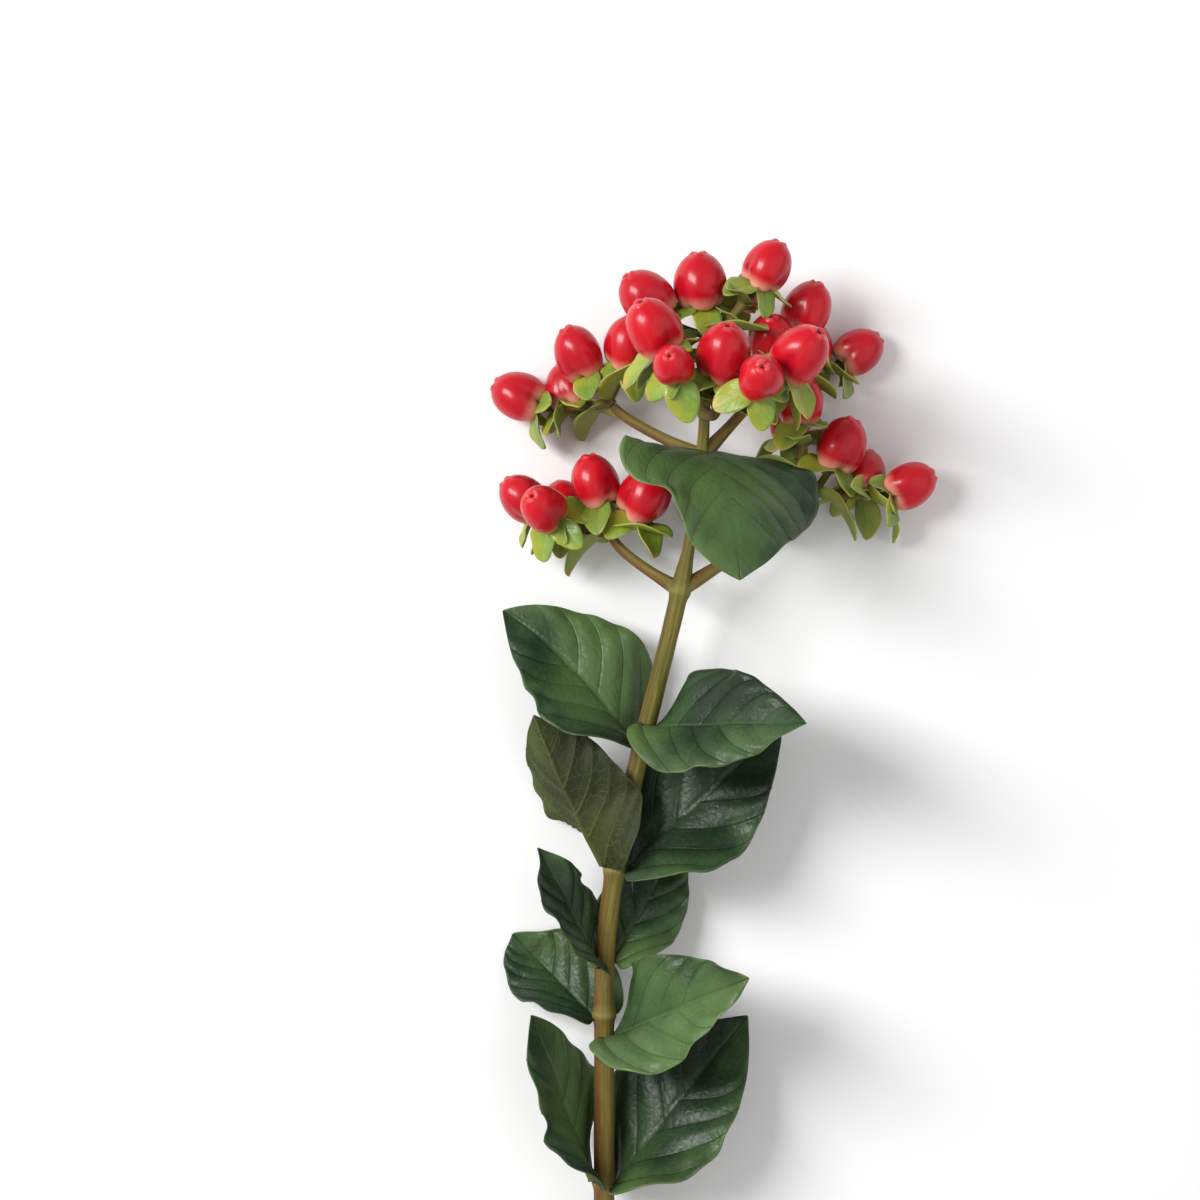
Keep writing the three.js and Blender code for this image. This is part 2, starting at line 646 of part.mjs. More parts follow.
// One berry, widest below the middle, on its five unequal sepals.
function makeFruit(berry) {
  const { centre, aim, radius, tall, seat, number, cyme } = berry;
  const turn = 40 * draw(number);
  const fromAim = (point) => {
    const away = point.clone().sub(seat);
    return away.addScaledVector(aim, -away.dot(aim)).length();
  };
  const grids = sepalSizes.map(([length, width], k) => {
    const chance = (share) => draw(7 * number + k + share);
    const out = squareTo(aim, 72 * k + turn);
    const size = 1 + 0.1 * chance(0.3);
    const place = { base: seat.clone().addScaledVector(out, hubRadius), axis: aim, out };
    const pose = { rise: 108 + 12 * chance(0.7), bend: 18 + 12 * chance(0.9), widest: 0.45 };
    const shape = { length: length * size, width: width * size, stalkHalf: 1.3, tipHalf: 1.3 };
    const neighbour = (point) => Math.max(fromAim(point) * 0.66, 0.3);
    return clearBlade({ ...place, ...pose, ...shape, neighbour }, sepalStations, 1, [cyme, berry]);
  });
  const rings = berryPolars.map((polar) => {
    const full = Math.sin(rad(polar)) ** berryFull * (1 + 0.07 * Math.cos(rad(polar)));
    const reach = radius * 1.02 * full;
    const level = centre.clone().addScaledVector(aim, -tall * Math.cos(rad(polar)));
    const angles = grids.flatMap((_, k) => [-1, 1].map((side) => 72 * k + turn + side * rimHalfAngle));
    return angles.map((angle) => level.clone().addScaledVector(squareTo(aim, angle), reach));
  });
  const bottom = seat.clone().addScaledVector(aim, -leafThick);
  return fruitSolid(grids, rings, bottom, centre.clone().addScaledVector(aim, tall * 1.03));
}

function makeBracts(fork, number, turn, cyme) {
  const [length, width] = bractSizes[fork.order];
  return [0, 180].map((side) => {
    const out = squareTo(fork.aim, turn + side + 90 * fork.order + 25);
    const base = fork.point.clone().addScaledVector(fork.aim, 1.6).addScaledVector(out, 0.6);
    const [rise, bend] = [84 + 14 * draw(number + side), 30 + 20 * draw(number + side + 0.5)];
    const shape = { base, axis: fork.aim, out, length, width, rise, bend, fold: 12, tipHalf: 1 };
    return bladeSolid(clearBlade(shape, bractStations, 2 - fork.order, [cyme]));
  });
}

grown.forEach((cyme, index) => {
  cyme.berries.forEach((berry) => {
    for (const end of [-1, 1]) {
      const ball = berry.centre.clone().addScaledVector(berry.aim, end * (berry.tall - berry.radius));
      addOwned(ball, berry.radius, index, berry);
    }
    stalkCurve(berry)
      .getPoints(10)
      .forEach((point) => addOwned(point, stalkRadius, index, berry));
  });
  const lines = cyme.forks.slice(1).map((fork) => linkCurve(cyme, fork));
  for (const point of lines.flatMap((line) => line.getPoints(10)))
    addObstacle(point, stalkRadius + bladeRoom, index);
  if (!branched(cyme)) return;
  for (const point of branchCurve(cyme).getPoints(10)) addObstacle(point, branchRadius + bladeRoom);
});
for (let height = firstFork; height < stemLength; height += 2)
  addObstacle(stemPoint(height), stemRadius(height) + bladeRoom);
leafDots.forEach((dot) => addObstacle(dot, 2.6));

// A cyme: its knuckle on the branch, its stalks, bracts, calyces and berries, joined in one solid.
function makeCyme(cyme, index) {
  const along = (reach) => cyme.tip.clone().addScaledVector(cyme.aim, reach);
  const knuckle = new THREE.LineCurve3(along(gap), along(3.2));
  const parts = [stalk(knuckle, branchRadius, branchRadius - 0.2, 1, 6)];
  cyme.forks.forEach((fork, n) => {
    if (n > 0) parts.push(stalk(linkCurve(cyme, fork), stalkRadius + 0.25, stalkRadius + 0.1, 2, stalkSides));
    parts.push(...makeBracts(fork, 100 + 10 * index + n, cyme.turn, index));
  });
  cyme.berries.forEach((berry) => {
    parts.push(stalk(stalkCurve(berry), stalkRadius, stalkRadius + 0.4, 2, stalkSides), makeFruit(berry));
  });
  return joinAll(parts).subtract(tableBlock);
}

// ---------------------------------------------------------------- materials and scene graph

const paint = (color, roughness) => new THREE.MeshStandardMaterial({ color, roughness, metalness: 0 });
const bark = paint(0x8f7c3e, 0.55);
const leafGreen = paint(0x2f5a33, 0.45);
const sepalGreen = paint(0x8fa63c, 0.5);
const berryRed = paint(0xd8182f, 0.22);

// A solid's surface as three.js geometry, with one group for each run of a colour.
function geometryOf(body) {
  const mesh = body.getMesh();
  const geometry = new THREE.BufferGeometry();
  geometry.setAttribute("position", new THREE.BufferAttribute(new Float32Array(mesh.vertProperties), 3));
  geometry.setIndex(new THREE.BufferAttribute(new Uint32Array(mesh.triVerts), 1));
  mesh.runOriginalID.forEach((id, run) => {
    const [start, end] = [mesh.runIndex[run], mesh.runIndex[run + 1]];
    geometry.addGroup(start, end - start, id === RED ? 1 : 0);
  });
  geometry.computeVertexNormals();
  return geometry;
}

const plant = new THREE.Group();
const foliage = new THREE.Group();
const head = new THREE.Group();
plant.name = "hypericum_stem";
plant.add(foliage, head);

function addMesh(group, name, body, material) {
  const mesh = new THREE.Mesh(geometryOf(body), material);
  mesh.name = name;
  group.add(mesh);
}

const stemRoom = makeStem(gap);
addMesh(plant, "stem", makeStem().subtract(cutBlock).subtract(tableBlock), bark);
leaves.forEach(({ name }, index) => {
  addMesh(foliage, name, bladeSolid(leafGrids[index]).subtract(stemRoom), leafGreen);
});
grown.forEach((cyme, index) => {
  addMesh(head, `spray_${cyme.name}`, makeCyme(cyme, index), [sepalGreen, berryRed]);
});

// The part's frame stands under the middle of its bounding box.
const middle = new THREE.Box3().setFromObject(plant).getCenter(vec(0, 0, 0));
plant.position.set(-middle.x, -middle.y, 0);

export default plant;
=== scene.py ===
# %% [markdown]
# # A hypericum stem in fruit
#
# A cut stem lies on a table: a ridged woody stem, pairs of clasping leaves, and a head of glossy red
# berries, each seated on five small sepals. The CAD model gives every piece its place and its main
# form. This lesson grows the same plant again by the same rules, with finer steps, and gives each piece
# what CAD leaves out: veins, quilted blades, seams in the berries, bark, and colour that changes from
# place to place.

# %% Load the frame
import math
from types import SimpleNamespace

import bpy
import numpy as np
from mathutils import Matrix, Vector


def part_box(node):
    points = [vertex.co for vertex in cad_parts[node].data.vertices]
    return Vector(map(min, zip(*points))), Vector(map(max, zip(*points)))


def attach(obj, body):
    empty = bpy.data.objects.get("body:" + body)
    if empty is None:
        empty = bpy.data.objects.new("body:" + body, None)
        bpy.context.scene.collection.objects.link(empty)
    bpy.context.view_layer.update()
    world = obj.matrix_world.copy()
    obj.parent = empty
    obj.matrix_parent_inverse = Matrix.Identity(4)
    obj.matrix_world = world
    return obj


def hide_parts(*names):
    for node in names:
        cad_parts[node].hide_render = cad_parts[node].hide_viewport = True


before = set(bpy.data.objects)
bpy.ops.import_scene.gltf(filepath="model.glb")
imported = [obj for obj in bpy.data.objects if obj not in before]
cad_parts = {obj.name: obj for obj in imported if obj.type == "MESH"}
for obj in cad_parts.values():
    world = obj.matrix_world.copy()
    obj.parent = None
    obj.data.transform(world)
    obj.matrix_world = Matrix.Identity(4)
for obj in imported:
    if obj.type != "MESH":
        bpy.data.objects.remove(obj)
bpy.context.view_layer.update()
print("CAD nodes:", len(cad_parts))

# %% [markdown]
# ## Small helpers
#
# Lengths below are in millimetres and become metres only when a mesh is made. Every plant varies, but
# this one has to vary the same way on every run, so chance comes from a number and not from a clock:
# `draw(n)` always gives the same value between -1 and 1 for the same n.

# %% Vectors and chance
UP = np.array([0.0, 0.0, 1.0])


def vec(*xyz):
    return np.array(xyz, float)


def draw(n):
    wave = np.sin(n * 12.9898 + 4.1414) * 43758.5453
    return 2 * (wave - np.floor(wave)) - 1


def unit(line):
    return line / np.linalg.norm(line)


def smoothstep(x, low, high):
    share = np.clip((x - low) / (high - low), 0, 1)
    return share * share * (3 - 2 * share)


def lerp(a, b, share):
    return a + (b - a) * share


def hill(x, middle, reach):
    """1 in the middle, falling to nothing on both sides."""
    return np.exp(-(((x - middle) / reach) ** 2))


def turned(a, b, angle):
    """a turned towards b."""
    return a * np.cos(angle) + b * np.sin(angle)


def square_to(line, angle):
    """A unit vector square to a line, turned by an angle in degrees from the horizontal one."""
    level = np.cross(line, UP)
    level = unit(level if np.linalg.norm(level) > 0.05 else vec(1, 0, 0))
    other = unit(np.cross(level, line))
    return turned(level, other, math.radians(angle))


print("chance 1, 2, 3:", [round(float(draw(n)), 3) for n in (1, 2, 3)])

# %% [markdown]
# ## The stem's line
#
# A real stem leans, tapers towards its head and swells a little at each joint, where a pair of leaves
# stood or stands. A curve drawn by hand would show that too, but leaves, branches, scars and bark all
# have to ask where the stem is and how thick. So one function gives the line at any height above the
# cut, and another the radius there.

# %% Stem line and radius
STEM_LENGTH = 302
FIRST_FORK = 250
CUT_SLANT = 35
CUT_RADIUS, TOP_RADIUS, TAPER = 2.05, 1.4, 3
THIN_FROM, THIN_TO, THIN_SHARE = 252, 259, 0.72
REST_HEIGHT, FORK_HEIGHT, RISE_POWER = 1.62, 18, 1.25
LEAN_SIDE, LEAN_FROM, LEAN_TO = 21, 165, 290
SCAR_JOINTS = [30, 60]
LEAF_JOINTS = [91, 124, 160, 191, 218.5, FIRST_FORK, 278]
JOINTS = SCAR_JOINTS + LEAF_JOINTS
JOINT_SWELL, JOINT_REACH = 0.45, 1.6


def stem_point(height):
    height = np.asarray(height, float)
    lean = smoothstep(height, LEAN_FROM, LEAN_TO) - smoothstep(FIRST_FORK, LEAN_FROM, LEAN_TO)
    rise = (np.maximum(height, 0) / FIRST_FORK) ** RISE_POWER
    lift = REST_HEIGHT + (FORK_HEIGHT - REST_HEIGHT) * rise
    return np.stack([LEAN_SIDE * lean, height, lift], axis=-1)


def stem_line(height):
    return unit(stem_point(height + 1) - stem_point(height - 1))


def stem_radius(height):
    height = np.asarray(height, float)
    radius = lerp(CUT_RADIUS, TOP_RADIUS, (np.maximum(height, 0) / STEM_LENGTH) ** TAPER)
    radius = radius * lerp(1, THIN_SHARE, smoothstep(height, THIN_FROM, THIN_TO))
    for joint in JOINTS:
        radius = radius + JOINT_SWELL * hill(height, joint, JOINT_REACH)
    return radius


print("first fork at", stem_point(FIRST_FORK).round(1), "radius", round(float(stem_radius(240)), 2))

# %% [markdown]
# ## The rule of a blade
#
# Leaves, bracts and sepals are all blades, so one rule makes them. A midrib grows from its base and
# bends, sweeps and twists on the way. Across it lies an ovate outline, folded along the midrib and waved
# along its edges. Mesh code is the plain way here: the grid's rows and columns are also the leaf's own
# map, which the veins follow later.


# %% Midrib of a blade
PLAIN_BLADE = dict(
    bend=0, sweep=0, twist=0, haste=3, fold=0, cup=0, curl=0, waist=0, lobe=0, wave=0, waves=2,
    phase=0, widest=0.39, stalk_half=0.6, tip_half=0.3, room=None, oval=None,
)
SHORT_STEPS = 4


def blade_directions(blade, v):
    """Along a blade, across it and square to its face, at shares v of its length."""
    v = np.asarray(v, float)[:, None]
    side = np.cross(blade.axis, blade.out)
    lift = np.radians(blade.rise + blade.bend * v)
    yaw = np.radians(blade.sweep * v)
    turn = np.radians(blade.twist * (1 - (1 - v) ** blade.haste))
    forward = turned(blade.axis, blade.out, lift)
    face = blade.axis * np.sin(lift) - blade.out * np.cos(lift)
    across = side * np.cos(yaw) - forward * np.sin(yaw)
    along = turned(forward, side, yaw)
    return along, turned(across, face, turn), face * np.cos(turn) - across * np.sin(turn)


def midrib(blade, stations):
    """Points of the midrib, each a few short steps on from the last, and the directions there."""
    starts = np.concatenate([[0.0], stations[:-1]])
    steps = (stations - starts) / SHORT_STEPS
    middles = starts[:, None] + steps[:, None] * (np.arange(SHORT_STEPS) + 0.5)
    moves = blade_directions(blade, middles.ravel())[0].reshape(-1, SHORT_STEPS, 3).sum(axis=1)
    points = blade.base + np.cumsum(moves * (blade.length * steps)[:, None], axis=0)
    return points, *blade_directions(blade, stations)


print("a blade is told by", len(PLAIN_BLADE), "numbers beside its place and size")


# %% Outline of a blade
def ovate(v, widest, full):
    fall = full * (1 - widest) / widest
    return (v / widest) ** full * ((1 - v) / (1 - widest)) ** fall


def half_widths(blade, v, points):
    """Half the width at each station: ovate, kept to the room there is, or rounded like a spoon."""
    outline = blade.width / 2 * ovate(v, blade.widest, 0.55)
    half = lerp(blade.stalk_half, blade.tip_half, v) + outline
    if blade.room:
        half = np.minimum(half, blade.room(points))
    if blade.oval:
        spoon = blade.width * 0.58 * np.abs(np.sin(np.pi * v**blade.oval)) ** 0.5
        half = np.minimum(spoon + 0.9 * (1 - v) ** 2, half + 0.9) + 0.04
    return half


print("widest at 0.39:", ovate(np.array([0.2, 0.39, 0.7]), 0.39, 0.55).round(2))


# %% Grid of a blade
OUT_OF_STEP = 0.37
LOBE_REACH = 0.04


def pressed(z, floor=0.5, soft=2.0):
    """Height over the table of a point that has been pressed on it."""
    return floor + soft * np.log1p(np.exp((z - floor) / soft))


def blade_grid(facts, stations, columns, press=True):
    """Points of a blade, rows from base to tip, and its half width at each row."""
    blade = SimpleNamespace(**{**PLAIN_BLADE, **facts})
    v = np.asarray(stations, float)
    points, along, across, face = midrib(blade, v)
    half = half_widths(blade, v, points)
    u, tall = np.linspace(-1, 1, columns + 1)[None, :], v[:, None]
    edge, left = abs(u), np.maximum(-u, 0)
    wave = np.sin(2 * np.pi * (blade.waves * tall + blade.phase + (u < 0) * OUT_OF_STEP))
    ripple = blade.wave * edge**2 * wave * np.sqrt(np.abs(np.sin(np.pi * tall)))
    lobe = blade.lobe * edge**2 * (tall / LOBE_REACH) * np.exp(1 - tall / LOBE_REACH)
    cup = blade.cup * edge**2 * half[:, None]
    drawn_in = 1 - blade.waist * left * hill(tall, 0.58, 0.2)
    roll = blade.curl * left**1.6 * hill(tall, 0.22, 0.14)
    fold = math.radians(blade.fold)
    grid = (
        points[:, None]
        + across[:, None] * (u * half[:, None] * drawn_in * math.cos(fold))[..., None]
        + face[:, None] * (edge * half[:, None] * math.sin(fold) + roll + ripple + cup)[..., None]
        - along[:, None] * lobe[..., None]
    )
    if press:
        grid[..., 2] = pressed(grid[..., 2])
    return grid, half


print("a point at the height of the table is pressed up to", round(float(pressed(0)), 2), "mm")


# %% Normals of a grid
def differences(grid):
    """From each row to the next but one, and single steps at the ends."""
    return np.concatenate([grid[1:2] - grid[:1], grid[2:] - grid[:-2], grid[-1:] - grid[-2:-1]])


def face_normals(grid):
    """Normals of the upper face of a grid of points."""
    across = differences(grid.swapaxes(0, 1)).swapaxes(0, 1)
    normal = np.cross(differences(grid), across)
    return normal / np.maximum(np.linalg.norm(normal, axis=-1, keepdims=True), 1e-9)


level_grid = np.stack(np.meshgrid([2.0, 1.0, 0.0], [0.0, 1.0, 2.0], [0.0]), axis=-1)[:, :, 0]
print("normal of a level grid:", face_normals(level_grid)[1, 1])

# %% [markdown]
# ## The leaves' places
#
# Hypericum carries its leaves in pairs, each pair a quarter turn round from the one below. `around` is the
# angle from the right-hand side of the stem towards the sky. `tone` runs from -1 for a dark leaf to 1 for
# a pale, warm one, and is partly the leaf's own colour and partly painted light and shade: low for a leaf
# that lies in shade, high for one that catches the light. A few leaves have habits of their own. The
# coarse grid of each leaf is the CAD model's, and it also shows how far the CAD frame is shifted from the
# place of growth.
# Leaves could be modelled once and scattered, but then every fold would repeat. A row of numbers for
# each leaf costs little and keeps them apart.

# %% Leaves on the stem
LEAF_FACTS = ("joint", "around", "length", "width", "rise", "bend", "twist", "fold", "tone")
# The last column, tone, is partly painted light and shade: the darkest leaves lie in shade, the palest catch
# the light.
LEAVES = {
    "leaf_1_front": (279, 77, 42, 43, 90, 76, -6, -6, 0.45),
    "leaf_1_back": (276, 290, 35, 26, 118, 30, 12, 6, 0.0),
    "leaf_2_front": (221.5, 54, 43, 23.5, 73, 2, 72, 10, -0.35),
    "leaf_2_back": (217, 186, 40, 28, 46, 26, -58, 12, 0.2),
    "leaf_3_right": (190.5, -8, 45, 30, 36, 4, 70, 9, -0.95),
    "leaf_3_left": (191, 172, 36, 27, 38, -8, 58, 26, -0.4),
    "leaf_4_front": (155, 44, 41, 24, 64, 0, 78, 14, 0.6),
    "leaf_4_back": (158, 220, 31, 22, 56, 4, -46, 23, 0.0),
    "leaf_4_small_left": (170, 146, 30, 16, 28, 2, -74, 8, -0.4),
    "leaf_4_small_right": (171, -38, 32, 17, 36, 0, 60, 4, -0.3),
    "leaf_5_left": (124, 162, 40, 26, 21, 0, -52, 8, 0.3),
    "leaf_5_right": (123, 2, 46, 30, 36, 4, 68, 9, -0.7),
    "leaf_6_front": (91, 118, 42, 27, 44, 26, -48, 12, 0.2),
    "leaf_6_back": (91, 300, 43, 28, 58, 8, 52, 6, 0.0),
}
LEAF_HABITS = {
    "leaf_1_front": dict(wave=3, waves=1.3, curl=6, waist=0.3),
    "leaf_2_front": dict(sweep=16, haste=9),
    "leaf_2_back": dict(haste=5),
    "leaf_4_front": dict(sweep=6, haste=6),
}
LEAF_EDGE = dict(stalk_half=1.2, tip_half=0.3, lobe=2.1, wave=1.3, waves=1.9, widest=0.365)


def leaf_blade(index, name):
    leaf = dict(zip(LEAF_FACTS, LEAVES[name]))
    axis = stem_line(leaf["joint"])
    right = unit(np.cross(axis, UP))
    out = turned(right, np.cross(right, axis), math.radians(leaf["around"]))
    base = stem_point(leaf["joint"]) + out * stem_radius(leaf["joint"])
    variety = dict(phase=0.5 * draw(index + 40), sweep=12 * draw(index + 60))
    place = dict(base=base, axis=axis, out=out)
    return {**LEAF_EDGE, **variety, **leaf, **LEAF_HABITS.get(name, {}), **place}


leaf_blades = {name: leaf_blade(i, name) for i, name in enumerate(LEAVES)}
print(len(leaf_blades), "leaves, the longest", max(b["length"] for b in leaf_blades.values()), "mm")

# %% The coarse leaves, and the way to the CAD frame
LEAF_STATIONS = [0, 0.055, 0.16, 0.33, 0.52, 0.71, 0.88, 1]
LEAF_COLUMNS = 4
CAD_THICK = 0.6
coarse = {name: blade_grid(b, LEAF_STATIONS, LEAF_COLUMNS)[0] for name, b in leaf_blades.items()}
witness = coarse["leaf_3_right"]
thick = np.concatenate([witness + face_normals(witness) * s * CAD_THICK / 2 for s in (1, -1)])
SHIFT = np.array(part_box("leaf_3_right")[1]) * 1000 - thick.reshape(-1, 3).max(axis=0)
print("shift from growth to the CAD frame, mm:", SHIFT.round(3))

# %% [markdown]
# ## The head
#
# Near the top the stem sends out six branches. Each ends in a cyme: one berry at the fork, and a stalk
# to each side that carries one berry or forks again. The berries then crowd. A physics run could pack
# them too, but it wouldn't end the same way in both models. So here, in every round, each springs back
# a little towards its home and pushes off what it touches. These steps repeat the CAD model's
# exactly, one push after the other, because the result depends on the order. The airs below are the
# least gaps: between berries of one cyme, of two cymes, and to seats, stalks, leaves and the stem.

# %% Branches of the head
CYME_FACTS = ("name", "start", "tip", "aim", "turn", "sides")
CYMES = [
    ("left", 250, vec(-14, 261, 12), vec(-0.35, 0.93, -0.05), 0, [1, 3]),
    ("right", 250, vec(28, 270, 12), vec(0.6, 0.8, -0.05), -12, [2, 2]),
    ("upper_left", 278, vec(-14, 289, 12), vec(-0.6, 0.78, -0.1), 25, [1, 2]),
    ("upper_right", 278, vec(20, 296, 12), vec(0.5, 0.85, -0.08), -30, [2, 1]),
    ("crown", 287, vec(7, 287, 35), vec(0.1, 0.85, 0.52), 8, [3, 3]),
    ("top", STEM_LENGTH, stem_point(STEM_LENGTH), vec(-0.08, 1, 0.02), 0, [2, 1]),
]
STANDS_ON_TABLE = ["left", "right", "upper_left", "upper_right"]
SIDE_ANGLE = 52
BRANCH_BOW = 0.2


def bezier(start, bend, end, t):
    t = np.asarray(t, float)[..., None]
    return (1 - t) ** 2 * start + 2 * (1 - t) * t * bend + t**2 * end


def branch_curve(cyme):
    start = stem_point(cyme.start)
    reach = np.linalg.norm(start - cyme.tip)
    return start, cyme.tip - cyme.aim * reach * BRANCH_BOW, cyme.tip


def leaning(aim, turn):
    """A stalk's line, leant sideways from the line of its fork."""
    return turned(aim, square_to(aim, turn), math.radians(SIDE_ANGLE))


print("branches:", ", ".join(facts[0] for facts in CYMES))

# %% Cymes and how they fork
BERRY_RADII = [5.6, 5.2, 4.6]
BERRY_SPREAD = 0.45
BERRY_TALL, TALL_SPREAD = 1.1, 0.05
MIDDLE_STALK, SIDE_STALK, SMALL_STALK = 6.5, 9.5, 5.5


def grow_cyme(index, facts):
    cyme = SimpleNamespace(**dict(zip(CYME_FACTS, facts)), index=index, berries=[])
    cyme.aim = unit(cyme.aim)
    cyme.branched = cyme.name != "top"
    cyme.forks = [SimpleNamespace(point=cyme.tip, aim=cyme.aim, order=0)]

    def add_berry(fork, line, reach, order):
        number = 10 * index + len(cyme.berries)
        radius = BERRY_RADII[order] + BERRY_SPREAD * draw(number)
        tall = radius * BERRY_TALL * (1 + TALL_SPREAD * draw(number + 0.5))
        home = fork.point + line * (reach + tall)
        cyme.berries.append(SimpleNamespace(
            cyme=index, number=number, fork=fork, radius=radius, tall=tall, centre=home, home=home
        ))

    add_berry(cyme.forks[0], cyme.aim, MIDDLE_STALK, 0)
    for k, count in enumerate(cyme.sides):
        away = leaning(cyme.aim, cyme.turn + 180 * k)
        if count == 1:
            add_berry(cyme.forks[0], away, SIDE_STALK, 1)
            continue
        aim = unit(away * 0.8 + cyme.aim * 0.3)
        fork = SimpleNamespace(point=cyme.tip + away * SIDE_STALK, aim=aim, order=1)
        cyme.forks.append(fork)
        add_berry(fork, aim, SMALL_STALK, 1)
        for n in range(1, count):
            add_berry(fork, leaning(aim, cyme.turn + 90 + 180 * n), SMALL_STALK, 2)
    return cyme


cymes = [grow_cyme(i, facts) for i, facts in enumerate(CYMES)]
berries = [berry for cyme in cymes for berry in cyme.berries]
print(len(cymes), "cymes with", len(berries), "berries")


# %% A berry's aim, and how it is pushed
SEAT_SHARE = 0.86
AIM_LIFT = vec(0, 0.25, 0.3)


def aim_berry(berry):
    aim = unit(unit(berry.centre - berry.fork.point) + AIM_LIFT)
    berry.aim, berry.seat = aim, berry.centre - aim * berry.tall * SEAT_SHARE


def standing(berry):
    """Half the height of a berry over the table."""
    return math.hypot(berry.radius * math.sqrt(1 - berry.aim[2] ** 2), berry.tall * berry.aim[2])


def push_off(berry, starts, ends, reaches, shares):
    """Moves a berry off lines and points in turn, by a share of what is missing to each reach."""
    first = 0
    while first < len(starts):
        line = ends[first:] - starts[first:]
        from_start = berry.centre - starts[first:]
        t = np.einsum("ij,ij->i", from_start, line) / np.maximum(np.einsum("ij,ij->i", line, line), 1e-12)
        apart = from_start - line * np.clip(t, 0, 1)[:, None]
        short = reaches[first:] - np.linalg.norm(apart, axis=1)
        hits = np.nonzero(short > 0)[0]
        if not len(hits):
            return
        hit = hits[0]
        berry.centre = berry.centre + unit(apart[hit]) * short[hit] * shares[first + hit]
        first += hit + 1


for berry in berries:
    aim_berry(berry)
print("half height of the first berry, mm:", round(standing(berries[0]), 2))

# %% What pushes a berry
KIN_AIR, KIN_SEAT_AIR = 0.8, 2
AIR, SEAT_AIR, STALK_AIR, LEAF_AIR = 2, 3.4, 2.4, 1.6
NEVER = -1
HALF_PUSH, FIRM_PUSH = 0.5, 0.6
leaf_dots = np.concatenate([grid.reshape(-1, 3) for grid in coarse.values()])
wood_dots = []
for cyme in cymes:
    if cyme.branched:
        wood_dots += [(p, cyme.index) for p in bezier(*branch_curve(cyme), [0.2, 0.4, 0.6, 0.8])]
    for fork in cyme.forks[1:]:
        wood_dots += [((cyme.tip + fork.point) / 2, cyme.index), (fork.point, cyme.index)]


def berry_pushes(a):
    """Reaches and shares of the pushes by every other berry: by its middle, its seat and its stalk."""
    reaches = []
    for b in berries:
        if a is b:
            reaches += [NEVER] * 3
        elif a.cyme == b.cyme:
            reaches += [a.radius + b.radius + KIN_AIR, a.radius + KIN_SEAT_AIR, NEVER]
        else:
            reaches += [a.radius + b.radius + AIR, a.radius + SEAT_AIR, a.radius + STALK_AIR]
    return np.array(reaches), np.array([HALF_PUSH, HALF_PUSH, FIRM_PUSH] * len(berries))


def still_pushes(a):
    """Points that never move: the leaves', and those of other cymes' wood."""
    wood = [p for p, cyme in wood_dots if cyme != a.cyme]
    points = np.concatenate([leaf_dots, np.array(wood)])
    reaches = np.full(len(points), a.radius + STALK_AIR)
    reaches[: len(leaf_dots)] = a.tall + LEAF_AIR
    return points, reaches, np.full(len(points), FIRM_PUSH)


pushes = [berry_pushes(a) for a in berries]
stills = [still_pushes(a) for a in berries]
print("points that never move:", len(leaf_dots), "of leaves and", len(wood_dots), "of wood")

# %% The berries crowd
CROWD_ROUNDS = 120
SPRING_BACK = 0.02
STALK_TOP = 1.5
STEM_AIR = 3.2
TABLE_AIR, TABLE_SINK = 0.2, 0.45
for _ in range(CROWD_ROUNDS):
    for berry in berries:
        berry.centre = lerp(berry.centre, berry.home, SPRING_BACK)
        aim_berry(berry)
    tops = [berry.seat - berry.aim * STALK_TOP for berry in berries]
    starts = np.array([p for b, top in zip(berries, tops) for p in (b.centre, top, b.fork.point)])
    ends = np.array([p for b, top in zip(berries, tops) for p in (b.centre, top, b.seat)])
    for i, berry in enumerate(berries):
        push_off(berry, starts, ends, *pushes[i])
        starts[3 * i] = ends[3 * i] = berry.centre
    for berry, (points, reaches, shares) in zip(berries, stills):
        push_off(berry, points, points, reaches, shares)
        if cymes[berry.cyme].branched:
            beside = stem_point(min(berry.centre[1], STEM_LENGTH - 2))[None]
            push_off(berry, beside, beside, np.array([berry.radius + STEM_AIR]), np.array([1.0]))
        berry.centre = vec(*berry.centre[:2], max(berry.centre[2], standing(berry) + TABLE_AIR))
for cyme in cymes:
    if cyme.name in STANDS_ON_TABLE:
        lowest = min(cyme.berries, key=lambda berry: berry.centre[2] - standing(berry))
        lowest.centre = vec(*lowest.centre[:2], standing(lowest) - TABLE_SINK)
for berry in berries:
    aim_berry(berry)
print("lowest berry middle, mm:", round(min(b.centre[2] for b in berries), 2))

# %% [markdown]
# ## Sepals and bracts find their room
#
# Each small blade is tried at its full size first. Where it would touch a berry, a leaf or a stalk that
# isn't its own, it is turned up or shortened. The search uses the CAD model's coarse grids, so both
# models keep the same choices, and only the kept blade is made again with fine steps.

# %% Obstacles
BLADE_ROOM, KIN_ROOM, LEAF_ROOM = 0.9, 0.6, 2.6
balls = SimpleNamespace(centres=[], radii=[], own=[])


def add_balls(centres, radius, own=-1):
    centres = np.reshape(centres, (-1, 3))
    balls.centres.append(centres)
    balls.radii.append(np.full(len(centres), radius))
    balls.own.append(np.full(len(centres), own))


def add_owned(points, radius, cyme, mark):
    """What belongs to one berry of a cyme: its kin may come closer than the rest."""
    add_balls(points, radius + BLADE_ROOM, cyme)
    add_balls(points, radius + KIN_ROOM, mark)


def berry_mark(berry):
    return 1000 + berry.number


for cyme in cymes:
    for berry in cyme.berries:
        half = berry.aim * (berry.tall - berry.radius)
        ends = [berry.centre - half, berry.centre + half]
        add_owned(ends, berry.radius, cyme.index, berry_mark(berry))
add_balls(leaf_dots, LEAF_ROOM)
print("obstacles of berries and leaves:", sum(len(c) for c in balls.centres))

